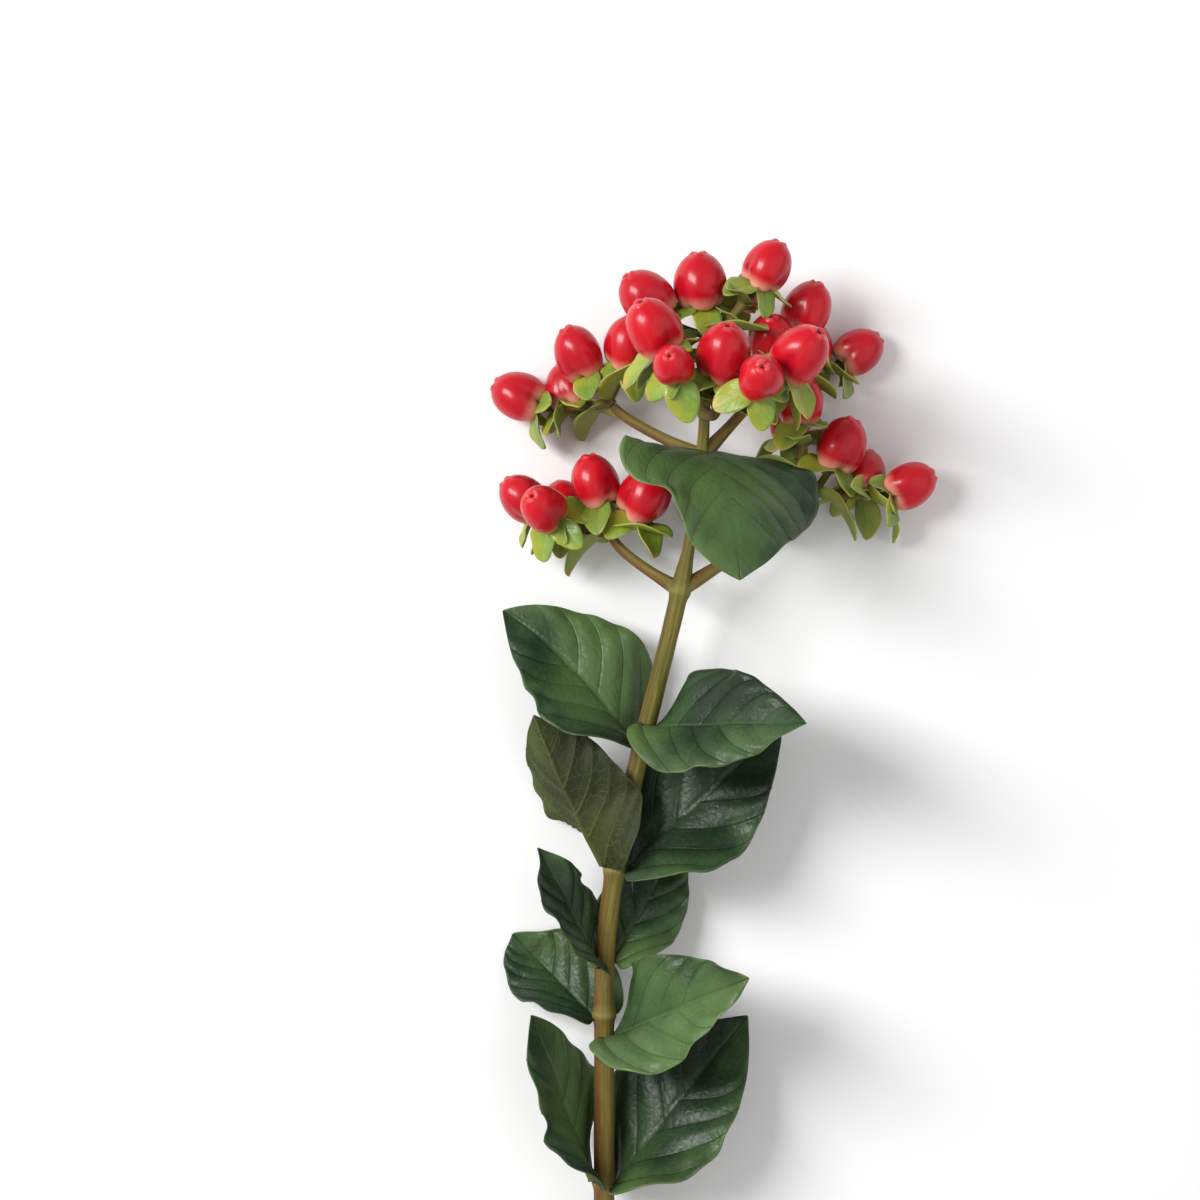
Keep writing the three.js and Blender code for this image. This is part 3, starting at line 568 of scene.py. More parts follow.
# %% Stalks, branches and the stem in the way
STALK_RADIUS = 0.75
BRANCH_ROOT, BRANCH_RADIUS = 1.3, 1.05
FORK_STUB, BRACT_HEIGHT = 1.2, 1.6
STALK_END, STALK_BOW, LINK_BOW = 0.72, 0.45, 5
TEN_STEPS = np.linspace(0, 1, 11)


def stalk_curve(berry):
    end = berry.centre - berry.aim * berry.tall * STALK_END
    start = berry.fork.point + berry.fork.aim * FORK_STUB
    return start, end - berry.aim * np.linalg.norm(end - start) * STALK_BOW, end


def link_curve(cyme, fork):
    end = fork.point + fork.aim * BRACT_HEIGHT
    return cyme.tip + cyme.aim * FORK_STUB, end - fork.aim * LINK_BOW, end


for cyme in cymes:
    for berry in cyme.berries:
        add_owned(bezier(*stalk_curve(berry), TEN_STEPS), STALK_RADIUS, cyme.index, berry_mark(berry))
    for fork in cyme.forks[1:]:
        add_balls(bezier(*link_curve(cyme, fork), TEN_STEPS), STALK_RADIUS + BLADE_ROOM, cyme.index)
    if cyme.branched:
        add_balls(bezier(*branch_curve(cyme), TEN_STEPS), BRANCH_RADIUS + BLADE_ROOM)
for height in range(FIRST_FORK, STEM_LENGTH, 2):
    add_balls(stem_point(height), stem_radius(height) + BLADE_ROOM)
print("obstacles in all:", sum(len(c) for c in balls.centres))


# %% Clear blades
TABLE_ROOM = 0.9
BLADE_RADIUS = 0.4
BLADE_SIZES = [1, 0.85, 0.7, 0.55, 0.4, 0.12]
BLADE_TURNS = [0, 12, 24, -14]


def blocked(grid, own):
    points = grid[1:].reshape(-1, 3)
    if points[:, 2].min() < TABLE_ROOM:
        return True
    foreign = ~np.isin(np.concatenate(balls.own), own)
    centres, radii = np.concatenate(balls.centres)[foreign], np.concatenate(balls.radii)[foreign]
    apart = np.linalg.norm(points[:, None] - centres[None], axis=2)
    return bool((apart < radii[None]).any())


def clear_blade(blade, stations, columns, own):
    """The largest size and first turn at which a blade touches nothing. The smallest is always kept."""
    for size in BLADE_SIZES:
        for turn in BLADE_TURNS:
            measures = dict(length=blade["length"] * size, width=blade["width"] * size)
            tried = dict(blade, rise=blade["rise"] + turn, **measures)
            grid, _ = blade_grid(tried, stations, columns, press=False)
            if size == BLADE_SIZES[-1] or not blocked(grid, own):
                add_owned(grid[1:], BLADE_RADIUS, own[0], -1)
                return dict(tried, size=size)


print("ways tried for each blade:", len(BLADE_SIZES) * len(BLADE_TURNS))

# %% Sepals and bracts
SEPAL_STATIONS = [0, 0.45, 1]
SEPAL_SIZES = [(9, 5.6), (7.2, 4.4), (8.6, 5.4), (6.6, 4), (8, 5)]
SEPAL_ROOM = 0.66
HUB_RADIUS = 1.9
BRACT_STATIONS = [0, 0.4, 1]
BRACT_SIZES = [(13, 7.4), (8.5, 4.4)]


def sepals_of(berry):
    def room(points):
        """Neighbours of five share the way round the berry."""
        away = points - berry.seat
        away = away - (away @ berry.aim)[:, None] * berry.aim
        return np.maximum(np.linalg.norm(away, axis=1) * SEPAL_ROOM, 0.3)

    for k, (length, width) in enumerate(SEPAL_SIZES):
        chance = [draw(7 * berry.number + k + share) for share in (0.3, 0.7, 0.9)]
        size = 1 + 0.1 * chance[0]
        out = square_to(berry.aim, 72 * k + 40 * draw(berry.number))
        blade = dict(
            base=berry.seat + out * HUB_RADIUS, axis=berry.aim, out=out, widest=0.45,
            rise=108 + 12 * chance[1], bend=18 + 12 * chance[2],
            length=length * size, width=width * size, stalk_half=1.3, tip_half=1.3, room=room,
        )
        yield clear_blade(blade, SEPAL_STATIONS, 1, [berry.cyme, berry_mark(berry)])


def bracts_of(cyme, fork, number):
    length, width = BRACT_SIZES[fork.order]
    for side in (0, 180):
        out = square_to(fork.aim, cyme.turn + side + 90 * fork.order + 25)
        blade = dict(
            base=fork.point + fork.aim * BRACT_HEIGHT + out * 0.6, axis=fork.aim, out=out,
            length=length, width=width, rise=84 + 14 * draw(number + side),
            bend=30 + 20 * draw(number + side + 0.5), fold=12, tip_half=1,
        )
        yield clear_blade(blade, BRACT_STATIONS, 2 - fork.order, [cyme.index])


for cyme in cymes:
    cyme.bracts = []
    for n, fork in enumerate(cyme.forks):
        cyme.bracts += bracts_of(cyme, fork, 100 + 10 * cyme.index + n)
    cyme.sepals = [list(sepals_of(berry)) for berry in cyme.berries]
kept_sizes = [b["size"] for cyme in cymes for five in cyme.sepals for b in five]
print("sepals by size:", {size: kept_sizes.count(size) for size in BLADE_SIZES})

# %% [markdown]
# ## Geometry Nodes and shaders share one arithmetic
#
# Blender has the same Math node in its geometry trees and its shader trees. A vein has to be pressed into
# the blade and painted pale in the same place, so its formula is written once, below, and placed in a
# tree of each kind. `Bench` is a short hand for adding nodes and joining them.


# %% A short hand for nodes
def opaque(value):
    """Gives a colour of three numbers its fourth."""
    return (*value, 1) if isinstance(value, tuple) and len(value) == 3 else value


class Nodes:
    """Adds nodes to a tree. A value may be a number or another node's output."""

    def __init__(self, tree):
        self.tree = tree

    def node(self, kind, inputs=(), **settings):
        made = self.tree.nodes.new(kind)
        for key, value in settings.items():
            setattr(made, key, value)
        self.fill(made.inputs, inputs)
        return made

    def fill(self, sockets, values):
        """Joins each value to its socket, or sets it there."""
        for key, value in dict(values).items():
            if isinstance(value, bpy.types.NodeSocket):
                self.tree.links.new(value, sockets[key])
            else:
                sockets[key].default_value = value

    def math(self, operation, *values):
        return self.node("ShaderNodeMath", enumerate(values), operation=operation).outputs[0]

    def size(self, value):
        return self.math("ABSOLUTE", value)

    def add(self, a, b):
        return self.math("ADD", a, b)

    def sub(self, a, b):
        return self.math("SUBTRACT", a, b)

    def div(self, a, b):
        return self.math("DIVIDE", a, b)

    def mul(self, *values):
        result = values[0]
        for value in values[1:]:
            result = self.math("MULTIPLY", result, value)
        return result


print("Math node in both kinds of tree: ShaderNodeMath")


# %% More of the short hand
class Bench(Nodes):
    """The same with curves of a value, vectors, colours and noise."""

    def ease(self, value, low, high, from_value=0.0, to_value=1.0):
        """Goes smoothly from one value to another while `value` goes from low to high."""
        inputs = {"Value": value, "From Min": low, "From Max": high}
        inputs.update({"To Min": from_value, "To Max": to_value})
        return self.node("ShaderNodeMapRange", inputs, interpolation_type="SMOOTHSTEP").outputs[0]

    def split(self, vector):
        return self.node("ShaderNodeSeparateXYZ", {0: vector}).outputs

    def join(self, x, y, z):
        return self.node("ShaderNodeCombineXYZ", {0: x, 1: y, 2: z}).outputs[0]

    def mix(self, share, a, b, kind="MIX"):
        inputs = {0: share, 6: opaque(a), 7: opaque(b)}
        return self.node("ShaderNodeMix", inputs, data_type="RGBA", blend_type=kind).outputs[2]

    def shaded(self, colour, light):
        """A colour times a light."""
        return self.mix(1.0, colour, self.join(light, light, light), "MULTIPLY")

    def noise(self, vector, scale, detail=2.0, distortion=0.0):
        inputs = {"Vector": vector, "Scale": scale, "Detail": detail, "Distortion": distortion}
        return self.node("ShaderNodeTexNoise", inputs).outputs[0]


def new_tree(kind, name, inputs, outputs):
    """A node group with named sockets, each given as name: (socket type, default value)."""
    tree = bpy.data.node_groups.new(name, kind)
    for side, sockets in (("INPUT", inputs), ("OUTPUT", outputs)):
        for socket, (form, value) in sockets.items():
            made = tree.interface.new_socket(socket, in_out=side, socket_type="NodeSocket" + form)
            if value is not None:
                made.default_value = value
    bench = Bench(tree)
    return tree, bench, bench.node("NodeGroupInput").outputs, bench.node("NodeGroupOutput").inputs


print("short hand:", ", ".join(name for name in dir(Bench) if not name.startswith("_")))

# %% [markdown]
# The map of a blade: `u` runs from -1 at one edge over 0 on the midrib to 1 at the other edge, and `v`
# from 0 at the base to 1 at the tip. Side veins leave the midrib in near-pairs, run out and arch forward
# until they lie along the margin. Between them the blade bulges a little, like a quilt. An image of
# veins would have to be drawn and unwrapped for every leaf. A formula on the leaf's own map fits all.


# %% The pattern of veins, for any tree
ARCH_SLOPE, ARCH_CURVE = 0.95, 0.12
LEFT_LEAD = 0.06
VEIN_WIDTH, VEIN_THINNING = 0.085, 0.05


def vein_arches(b, u, v, edge, across, along, tone):
    """A value that is the same all along each side vein, and grows from the base to the tip."""
    length = b.math("MAXIMUM", b.div(along, v), 1.0)
    aside = b.div(across, length)
    wander = b.mul(b.math("SINE", b.add(b.mul(v, 11.0), b.mul(tone, 9.0))), 0.016)
    arch = b.sub(v, b.add(b.mul(aside, ARCH_SLOPE), b.mul(edge, edge, edge, ARCH_CURVE)))
    return b.add(b.add(arch, wander), b.mul(b.math("LESS_THAN", u, 0.0), LEFT_LEAD))


def vein_pattern(b, place, flat, pairs):
    """Midrib, side veins and quilting as values from 0 to 1, from the map of a blade."""
    u, v, _ = b.split(place)
    x, along, tone = b.split(flat)
    edge, across = b.size(u), b.size(x)
    arch = vein_arches(b, u, v, edge, across, along, tone)
    from_middle = b.size(b.sub(b.math("FRACT", b.mul(arch, pairs)), 0.5))
    from_vein = b.sub(0.5, from_middle)
    width = b.sub(VEIN_WIDTH, b.mul(edge, VEIN_THINNING))
    side = b.sub(1.0, b.math("SMOOTH_MIN", b.div(from_vein, width), 1.0, 0.3))
    inside = b.mul(b.ease(arch, -0.3, -0.2), b.ease(arch, 0.8, 0.58))
    side = b.mul(b.math("MAXIMUM", side, 0.0), inside)
    midrib_half = b.sub(0.62, b.mul(v, 0.46))
    midrib_share = b.ease(across, midrib_half, 0.0)
    quilt = b.math("SINE", b.mul(b.math("MINIMUM", from_vein, 0.5), math.pi))
    rim = b.sub(1.0, b.math("POWER", edge, 6.0))
    return midrib_share, side, b.mul(quilt, b.math("SQRT", edge), rim, inside)


start_angle = math.degrees(math.atan(1 / ARCH_SLOPE))
print("the veins start out at", round(start_angle), "degrees from the midrib")


# %% [markdown]
# ## Relief by Geometry Nodes
#
# A blade comes from the rule above as two faces joined round the rim. This tree moves them: the whole
# blade bulges between its veins, the upper face dips along each vein, and the under face stands out along it.
# A displacement in the material would look the same here, but the relief would be lost on export.

# %% Relief tree
GEOMETRY = ("Geometry", None)
MATERIAL = ("Material", None)
VECTOR = ("Vector", None)


def named(b, name, kind="FLOAT_VECTOR"):
    node = b.node("GeometryNodeInputNamedAttribute", {"Name": name}, data_type=kind)
    return node.outputs["Attribute"]


def passed(b, kind, shape, inputs=(), **settings):
    """A geometry node that takes a shape in its first socket and hands it on."""
    return b.node("GeometryNode" + kind, {0: shape, **dict(inputs)}, **settings).outputs[0]


def scaled(b, vector, factor):
    return b.node("ShaderNodeVectorMath", {0: vector, "Scale": factor}, operation="SCALE").outputs[0]


def finished(b, shape, given, result):
    """The end of a tree: smooth, real, and with its material."""
    real = passed(b, "RealizeInstances", passed(b, "SetShadeSmooth", shape))
    skin = passed(b, "SetMaterial", real, {"Material": given["Material"]})
    b.fill(result, {"Geometry": skin})


def relief_tree():
    numbers = {"Vein pairs": 7.0, "Quilt": 0.4, "Groove": 0.16, "Rib": 0.5}
    tree, b, given, result = new_tree(
        "GeometryNodeTree", "Vein relief",
        {"Geometry": GEOMETRY, **{k: ("Float", n) for k, n in numbers.items()}, "Material": MATERIAL},
        {"Geometry": GEOMETRY},
    )
    place, flat = named(b, "place"), named(b, "flat")
    _, v, side_of = b.split(place)
    midrib_share, side, quilt = vein_pattern(b, place, flat, given["Vein pairs"])
    fade = b.ease(v, 1.0, 0.8)
    bulge = b.mul(quilt, given["Quilt"], fade)
    upper = b.math("GREATER_THAN", side_of, 0.0)
    veins = b.math("MAXIMUM", b.mul(midrib_share, 1.7), b.mul(side, 0.45))
    dip = b.mul(veins, given["Groove"], upper, -1.0)
    stand = b.mul(veins, given["Rib"], b.sub(1.0, upper), -1.0, fade)
    height = b.mul(b.add(bulge, b.add(dip, stand)), 0.001)
    offset = scaled(b, named(b, "upward"), height)
    finished(b, passed(b, "SetPosition", given["Geometry"], {"Offset": offset}), given, result)
    return tree


RELIEF = relief_tree()
print("relief tree:", len(RELIEF.nodes), "nodes")


# %% Turning a grown object into a plain mesh
def add_object(name, data):
    made = bpy.data.objects.new(name, data)
    bpy.context.scene.collection.objects.link(made)
    return made


def make_mesh(name, points, faces=(), edges=(), attributes=None):
    """A mesh in metres from points in millimetres, with named attributes on its points."""
    mesh = bpy.data.meshes.new(name)
    mesh.from_pydata((np.asarray(points) + SHIFT) / 1000, edges, faces)
    for key, values in (attributes or {}).items():
        values = np.asarray(values, np.float32)
        form, field = ("FLOAT", "value") if values.ndim == 1 else ("FLOAT_VECTOR", "vector")
        mesh.attributes.new(key, form, "POINT").data.foreach_set(field, values.ravel())
    return add_object(name, mesh)


def finish_growth(made, tree, **values):
    """Runs a Geometry Nodes tree on an object and keeps what it made as a plain mesh."""
    modifier = made.modifiers.new(tree.name, "NODES")
    modifier.node_group = tree
    for item in tree.interface.items_tree:
        key = item.name.replace(" ", "_").lower()
        if item.item_type == "SOCKET" and item.in_out == "INPUT" and key in values:
            modifier[item.identifier] = values[key]
    graph = bpy.context.evaluated_depsgraph_get()
    seed = made.data
    made.data = bpy.data.meshes.new_from_object(
        made.evaluated_get(graph), preserve_all_data_layers=True, depsgraph=graph
    )
    made.modifiers.remove(modifier)
    made.data.name = made.name
    bpy.data.meshes.remove(seed)
    return made


print("trees run once, and what they made is kept as a plain mesh")


# %% Moving the points of a mesh
def coordinates(mesh):
    flat = np.empty(len(mesh.vertices) * 3)
    mesh.vertices.foreach_get("co", flat)
    return flat.reshape(-1, 3) * 1000 - SHIFT


def move_points(mesh, points):
    mesh.vertices.foreach_set("co", ((points + SHIFT) / 1000).ravel())
    mesh.update()


def kept_above(made, floor):
    """Flattens what would reach below a height, as the table does."""
    points = coordinates(made.data)
    points[:, 2] = np.maximum(points[:, 2], floor)
    move_points(made.data, points)
    return made


print("meshes are read and moved in millimetres")


# %% [markdown]
# ## Colours and skins
#
# Three shader groups carry what several materials share: the veins of a blade, a fine mottling and the
# grain of wood. They put out only masks and colours. The glossy part, the Principled BSDF, stays in
# each material, with its constant values on its own sockets.


# %% Shader group: veins
def vein_group():
    masks = ("Midrib", "Side", "Quilt", "Net", "Cell", "Rim", "Upper")
    tree, b, given, result = new_tree(
        "ShaderNodeTree", "Blade veins",
        {"Place": VECTOR, "Flat": VECTOR, "Vein pairs": ("Float", 7.0), "Net size": ("Float", 1.5)},
        {name: ("Float", 0.0) for name in masks},
    )
    midrib_share, side, quilt = vein_pattern(b, given["Place"], given["Flat"], given["Vein pairs"])
    u, _, side_of = b.split(given["Place"])
    x, y, tone = b.split(given["Flat"])
    apart = b.mul(tone, 40.0)
    bent = b.mul(b.noise(b.join(x, y, apart), 0.5), 2.0)
    net = b.node(
        "ShaderNodeTexVoronoi",
        {"Vector": b.join(b.add(x, bent), b.add(y, bent), apart), "Scale": b.div(1.0, given["Net size"])},
        feature="DISTANCE_TO_EDGE", voronoi_dimensions="2D",
    ).outputs["Distance"]
    b.fill(result, {
        "Midrib": midrib_share, "Side": side, "Quilt": quilt,
        "Net": b.ease(net, 0.11, 0.0), "Cell": b.ease(net, 0.0, 0.34),
        "Rim": b.ease(b.size(u), 0.955, 0.99), "Upper": b.math("GREATER_THAN", side_of, 0.0),
    })
    return tree


VEINS = vein_group()
print("shader group:", VEINS.name)


# %% Shader group: mottling
def mottle_group():
    tree, b, given, result = new_tree(
        "ShaderNodeTree", "Mottling",
        {
            "Vector": VECTOR, "Patch size": ("Float", 1.0), "Speck size": ("Float", 1.0),
            "Colour": ("Color", (1, 1, 1, 1)), "Patch colour": ("Color", (0, 0, 0, 1)),
            "Patches": ("Float", 0.5), "Specks": ("Float", 0.1),
        },
        {"Colour": ("Color", (1, 1, 1, 1)), "Speck": ("Float", 0.0)},
    )
    patch = b.noise(given["Vector"], b.div(1.0, given["Patch size"]), 3.0, 0.6)
    speck = b.noise(given["Vector"], b.div(1.0, given["Speck size"]), 2.0)
    share = b.mul(b.ease(patch, 0.36, 0.66), given["Patches"])
    colour = b.mix(share, given["Colour"], given["Patch colour"])
    light = b.add(1.0, b.mul(b.sub(speck, 0.5), given["Specks"], 2.0))
    b.fill(result, {"Colour": b.shaded(colour, light), "Speck": speck})
    return tree


MOTTLE = mottle_group()
print("shader group:", MOTTLE.name)


# %% [markdown]
# ### Leaf skin
#
# The upper face is a deep bluish green with a dull waxy sheen and pressed-in veins; its bulges carry a
# painted highlight and its vein creases painted shade. The under face is a dull olive, with raised
# straw-coloured veins and a fine net. The rim is a thin pale line. No leaf is one green: slow clouds of a
# warmer colour drift over it, one half is painted paler and warmer, as if the light fell on it, and each
# leaf has a tone that is partly its own colour and partly painted light and shade. Both faces are one
# material, told apart by the `place` attribute, because two would have to be assigned face by face.
# Sepals and bracts use the same recipe with other colours.


# %% Material helpers
def new_material(name):
    material = bpy.data.materials.new(name)
    material.use_nodes = True
    return material, Bench(material.node_tree), material.node_tree.nodes["Principled BSDF"]


def attribute(b, name, output="Vector"):
    return b.node("ShaderNodeAttribute", attribute_name=name).outputs[output]


def group(b, tree, inputs):
    inputs = {key: opaque(value) for key, value in inputs.items()}
    return b.node("ShaderNodeGroup", inputs, node_tree=tree).outputs


def bump(b, height, distance):
    """distance is in millimetres."""
    inputs = {"Height": height, "Distance": distance / 1000, "Strength": 1.0}
    return b.node("ShaderNodeBump", inputs).outputs[0]


def layered(b, colour, layers):
    """Lays colours over one another, each given as (colour, how strong, mask)."""
    for tint, strength, mask in layers:
        colour = b.mix(b.mul(mask, strength), colour, tint)
    return colour


print("helpers for materials ready")


# %% The two faces of a blade
def upper_colour(b, look, veins, v, spots):
    """Painted highlight where it bulges, painted shade in creases, a midrib that fades towards the tip."""
    (deep, light), (crease, shade_strength) = look.upper, look.crease
    face = group(b, MOTTLE, {**spots, "Colour": deep, "Patch colour": light, "Patches": 0.9})
    return layered(b, face["Colour"], [
        # Painted highlight on the bulges between the veins.
        (light, 0.3, veins["Quilt"]),
        # Painted shade in the creases of the side veins and of the net.
        (crease, shade_strength, veins["Side"]),
        (crease, 0.4, b.mul(veins["Net"], shade_strength)),
        (look.vein[0], b.ease(v, 0.9, 0.0, 0.1, 0.6), veins["Midrib"]),
    ])


def under_colour(b, look, veins, spots):
    """Paler along every vein."""
    deep, light = look.under
    face = group(b, MOTTLE, {**spots, "Colour": deep, "Patch colour": light, "Patches": 0.8})
    shares = (("Net", 0.3), ("Side", 0.7), ("Midrib", 0.85))
    return layered(b, face["Colour"], [(look.vein[1], share, veins[name]) for name, share in shares])


def face_relief(b, veins, grain):
    """Height for the bump: veins dip on the upper face and stand out on the under face."""
    dips = b.add(b.mul(veins["Side"], -0.8), b.mul(veins["Cell"], 0.26))
    ribs = b.add(b.mul(veins["Side"], 0.9), b.mul(veins["Net"], 0.4))
    height = b.node("ShaderNodeMix", {0: veins["Upper"], 2: ribs, 3: dips}, data_type="FLOAT").outputs[0]
    return b.add(height, b.mul(grain, 0.5))


print("faces of a blade: upper and under")


# %% The material of a blade
def blade_material(name, **facts):
    look = SimpleNamespace(**facts)
    material, b, shader = new_material(name)
    place, flat = attribute(b, "place"), attribute(b, "flat")
    veins = group(
        b, VEINS, {"Place": place, "Flat": flat, "Vein pairs": look.pairs, "Net size": look.net}
    )
    x, y, tone = b.split(flat)
    u, v, _ = b.split(place)
    spot = b.join(x, y, b.mul(tone, 31.0))
    cloud = b.mul(b.sub(b.noise(spot, 0.07, 1.0), 0.5), 2.4)
    # One half is painted paler and warmer, as if the light fell on it; tone adds its painted light and shade.
    warmth_and_light = b.add(b.sub(tone, b.mul(u, 0.6)), cloud)
    spots = {"Vector": spot, "Patch size": look.patch, "Speck size": 0.5, "Specks": 0.16}
    upper, under = upper_colour(b, look, veins, v, spots), under_colour(b, look, veins, spots)
    colour = layered(b, b.mix(veins["Upper"], under, upper), [
        (*look.drift, b.ease(warmth_and_light, -0.4, 0.8)),
        (*look.tip, b.mul(b.ease(v, 0.7, 1.0), b.ease(tone, 0.1, 0.8))),
        (*look.rim, veins["Rim"]),
    ])
    # Brightness follows the same mask, so the painted light also lifts the value.
    hue = {"Hue": b.add(0.5, b.mul(tone, 0.006)), "Value": b.add(1.0, b.mul(warmth_and_light, look.swing))}
    colour = b.node("ShaderNodeHueSaturation", {"Color": colour, **hue}).outputs[0]
    grain = b.noise(spot, 1.1, 4.0)
    rough = b.ease(grain, 0.3, 0.75, *look.sheen)
    b.fill(shader.inputs, {
        "Base Color": colour,
        "Roughness": b.mix(veins["Upper"], (0.62, 0.62, 0.62), b.join(rough, rough, rough)),
        "Normal": bump(b, face_relief(b, veins, grain), look.relief),
        "Specular IOR Level": look.gloss,
        "Subsurface Weight": 0.08, "Subsurface Radius": (0.3, 0.6, 0.1), "Subsurface Scale": 0.001,
    })
    return material


print("leaves, sepals and bracts share one recipe")

# %% Leaf skin and sepal skin
LEAF_SKIN = blade_material(
    "leaf skin",
    upper=((0.012, 0.034, 0.013), (0.038, 0.084, 0.027)),
    under=((0.022, 0.031, 0.003), (0.038, 0.048, 0.005)),
    vein=((0.070, 0.12, 0.034), (0.11, 0.125, 0.024)),
    # The crease colour is painted shade in the vein creases.
    crease=((0.005, 0.018, 0.007), 0.5),
    # The drift colour also paints one half of each blade paler, as if lit.
    drift=((0.074, 0.120, 0.032), 0.55),
    tip=((0.06, 0.06, 0.01), 0.2),
    rim=((0.15, 0.20, 0.07), 0.3),
    pairs=5.5, net=1.9, patch=10.0, relief=0.14, sheen=(0.36, 0.52), gloss=0.32, swing=0.4,
)
SEPAL_SKIN = blade_material(
    "sepal skin",
    upper=((0.13, 0.24, 0.022), (0.24, 0.34, 0.045)),
    under=((0.20, 0.27, 0.045), (0.30, 0.34, 0.06)),
    vein=((0.12, 0.21, 0.03), (0.17, 0.24, 0.04)),
    # The crease colour is painted shade in the vein creases.
    crease=((0.08, 0.15, 0.016), 0.08),
    drift=((0.30, 0.30, 0.018), 0.75),
    tip=((0.42, 0.19, 0.04), 0.5),
    rim=((0.46, 0.44, 0.14), 0.5),
    pairs=4.0, net=0.8, patch=6.0, relief=0.03, sheen=(0.34, 0.46), gloss=0.5, swing=0.16,
)
print("materials:", LEAF_SKIN.name, "and", SEPAL_SKIN.name)


# %% [markdown]
# ### Bark
#
# The young wood of the stem is olive and straw, and brown with a red flush on one side. Fine streaks
# run along it, and small corky specks stand on it. `grain` carries the place on the stem: the first two
# numbers go round it, the third is the way along it in metres. Object coordinates would draw the
# streaks straight through every bend, so the pattern follows the path instead.


# %% Shader group: wood grain
def grain_group():
    tree, b, given, result = new_tree(
        "ShaderNodeTree", "Wood grain", {"Grain": VECTOR, "Streak": ("Float", 1.0)},
        {name: ("Float", 0.0) for name in ("Streak", "Fine", "Speck", "Flush")},
    )
    round_x, round_y, along = b.split(given["Grain"])
    way = b.mul(along, 1000.0)

    def drawn_out(round_scale, way_scale):
        return b.join(b.mul(round_x, round_scale), b.mul(round_y, round_scale), b.mul(way, way_scale))

    dots = b.node("ShaderNodeTexVoronoi", {"Vector": drawn_out(2.4, 0.55), "Scale": 1.1})
    slow = b.noise(b.join(0.0, 0.0, b.mul(way, 0.02)), 1.0)
    facing = b.add(round_x, b.mul(b.sub(slow, 0.5), 1.6))
    b.fill(result, {
        "Streak": b.noise(drawn_out(3.0, 0.045), given["Streak"], 3.0, 0.3),
        "Fine": b.noise(drawn_out(9.0, 0.16), 1.4, 3.0),
        "Speck": b.ease(dots.outputs["Distance"], 0.16, 0.06),
        "Flush": b.ease(facing, 0.1, -0.75),
    })
    return tree


GRAIN = grain_group()
print("shader group:", GRAIN.name)


# %% Materials: bark and stalk skin
def bark_material(name, green, straw, flush, brown):
    """Olive and straw where young, brown where old, with a red flush on one side."""
    material, b, shader = new_material(name)
    grain = group(b, GRAIN, {"Grain": attribute(b, "grain"), "Streak": 1.0})
    age, joint, scar = (attribute(b, key, "Fac") for key in ("age", "joint", "scar"))
    colour = layered(b, b.mix(b.ease(grain["Streak"], 0.36, 0.66), green, straw), [
        (brown, 0.75, age),
        (flush, b.add(0.2, b.mul(age, 0.75)), grain["Flush"]),
    ])
    colour = layered(b, b.shaded(colour, b.ease(grain["Fine"], 0.3, 0.7, 0.72, 1.16)), [
        ((0.30, 0.20, 0.09), 0.5, grain["Speck"]),
        ((0.25, 0.24, 0.06), 0.5, joint),
    ])
    height = b.add(b.mul(grain["Fine"], 0.8), b.add(b.mul(grain["Speck"], 0.7), grain["Streak"]))
    b.fill(shader.inputs, {
        "Base Color": b.mix(b.math("MINIMUM", scar, 1.0), colour, (0.21, 0.12, 0.05)),
        "Roughness": b.ease(grain["Fine"], 0.3, 0.7, 0.45, 0.62),
        "Specular IOR Level": 0.25,
        "Normal": bump(b, height, 0.16),
    })
    return material


BARK = bark_material(
    "bark", green=(0.092, 0.100, 0.010), straw=(0.20, 0.165, 0.028),
    flush=(0.145, 0.045, 0.018), brown=(0.22, 0.125, 0.036),
)
STALK_SKIN = bark_material(
    "stalk skin", green=(0.12, 0.14, 0.014), straw=(0.22, 0.18, 0.035),
    flush=(0.16, 0.045, 0.02), brown=(0.18, 0.09, 0.03),
)
print("materials:", BARK.name, "and", STALK_SKIN.name)


# %% Material: cut wood
def cut_material():
    """A spongy pith, a pale ring of wood and a darker rim of bark."""
    material, b, shader = new_material("cut wood")
    x, y, radial = b.split(attribute(b, "section"))
    fibre = b.noise(b.join(b.mul(x, 9.0), b.mul(y, 9.0), 0.0), 3.0, 4.0)
    colour = b.mix(b.ease(radial, 0.30, 0.36), (0.34, 0.24, 0.12), (0.56, 0.50, 0.27))
    colour = b.mix(b.ease(radial, 0.82, 0.93), colour, (0.17, 0.15, 0.05))
    b.fill(shader.inputs, {
        "Base Color": b.shaded(colour, b.ease(fibre, 0.3, 0.7, 0.7, 1.1)),
        "Roughness": b.ease(fibre, 0.3, 0.7, 0.65, 0.85),
        "Normal": bump(b, fibre, 0.2),
    })
    return material


CUT_WOOD = cut_material()
print("material:", CUT_WOOD.name)
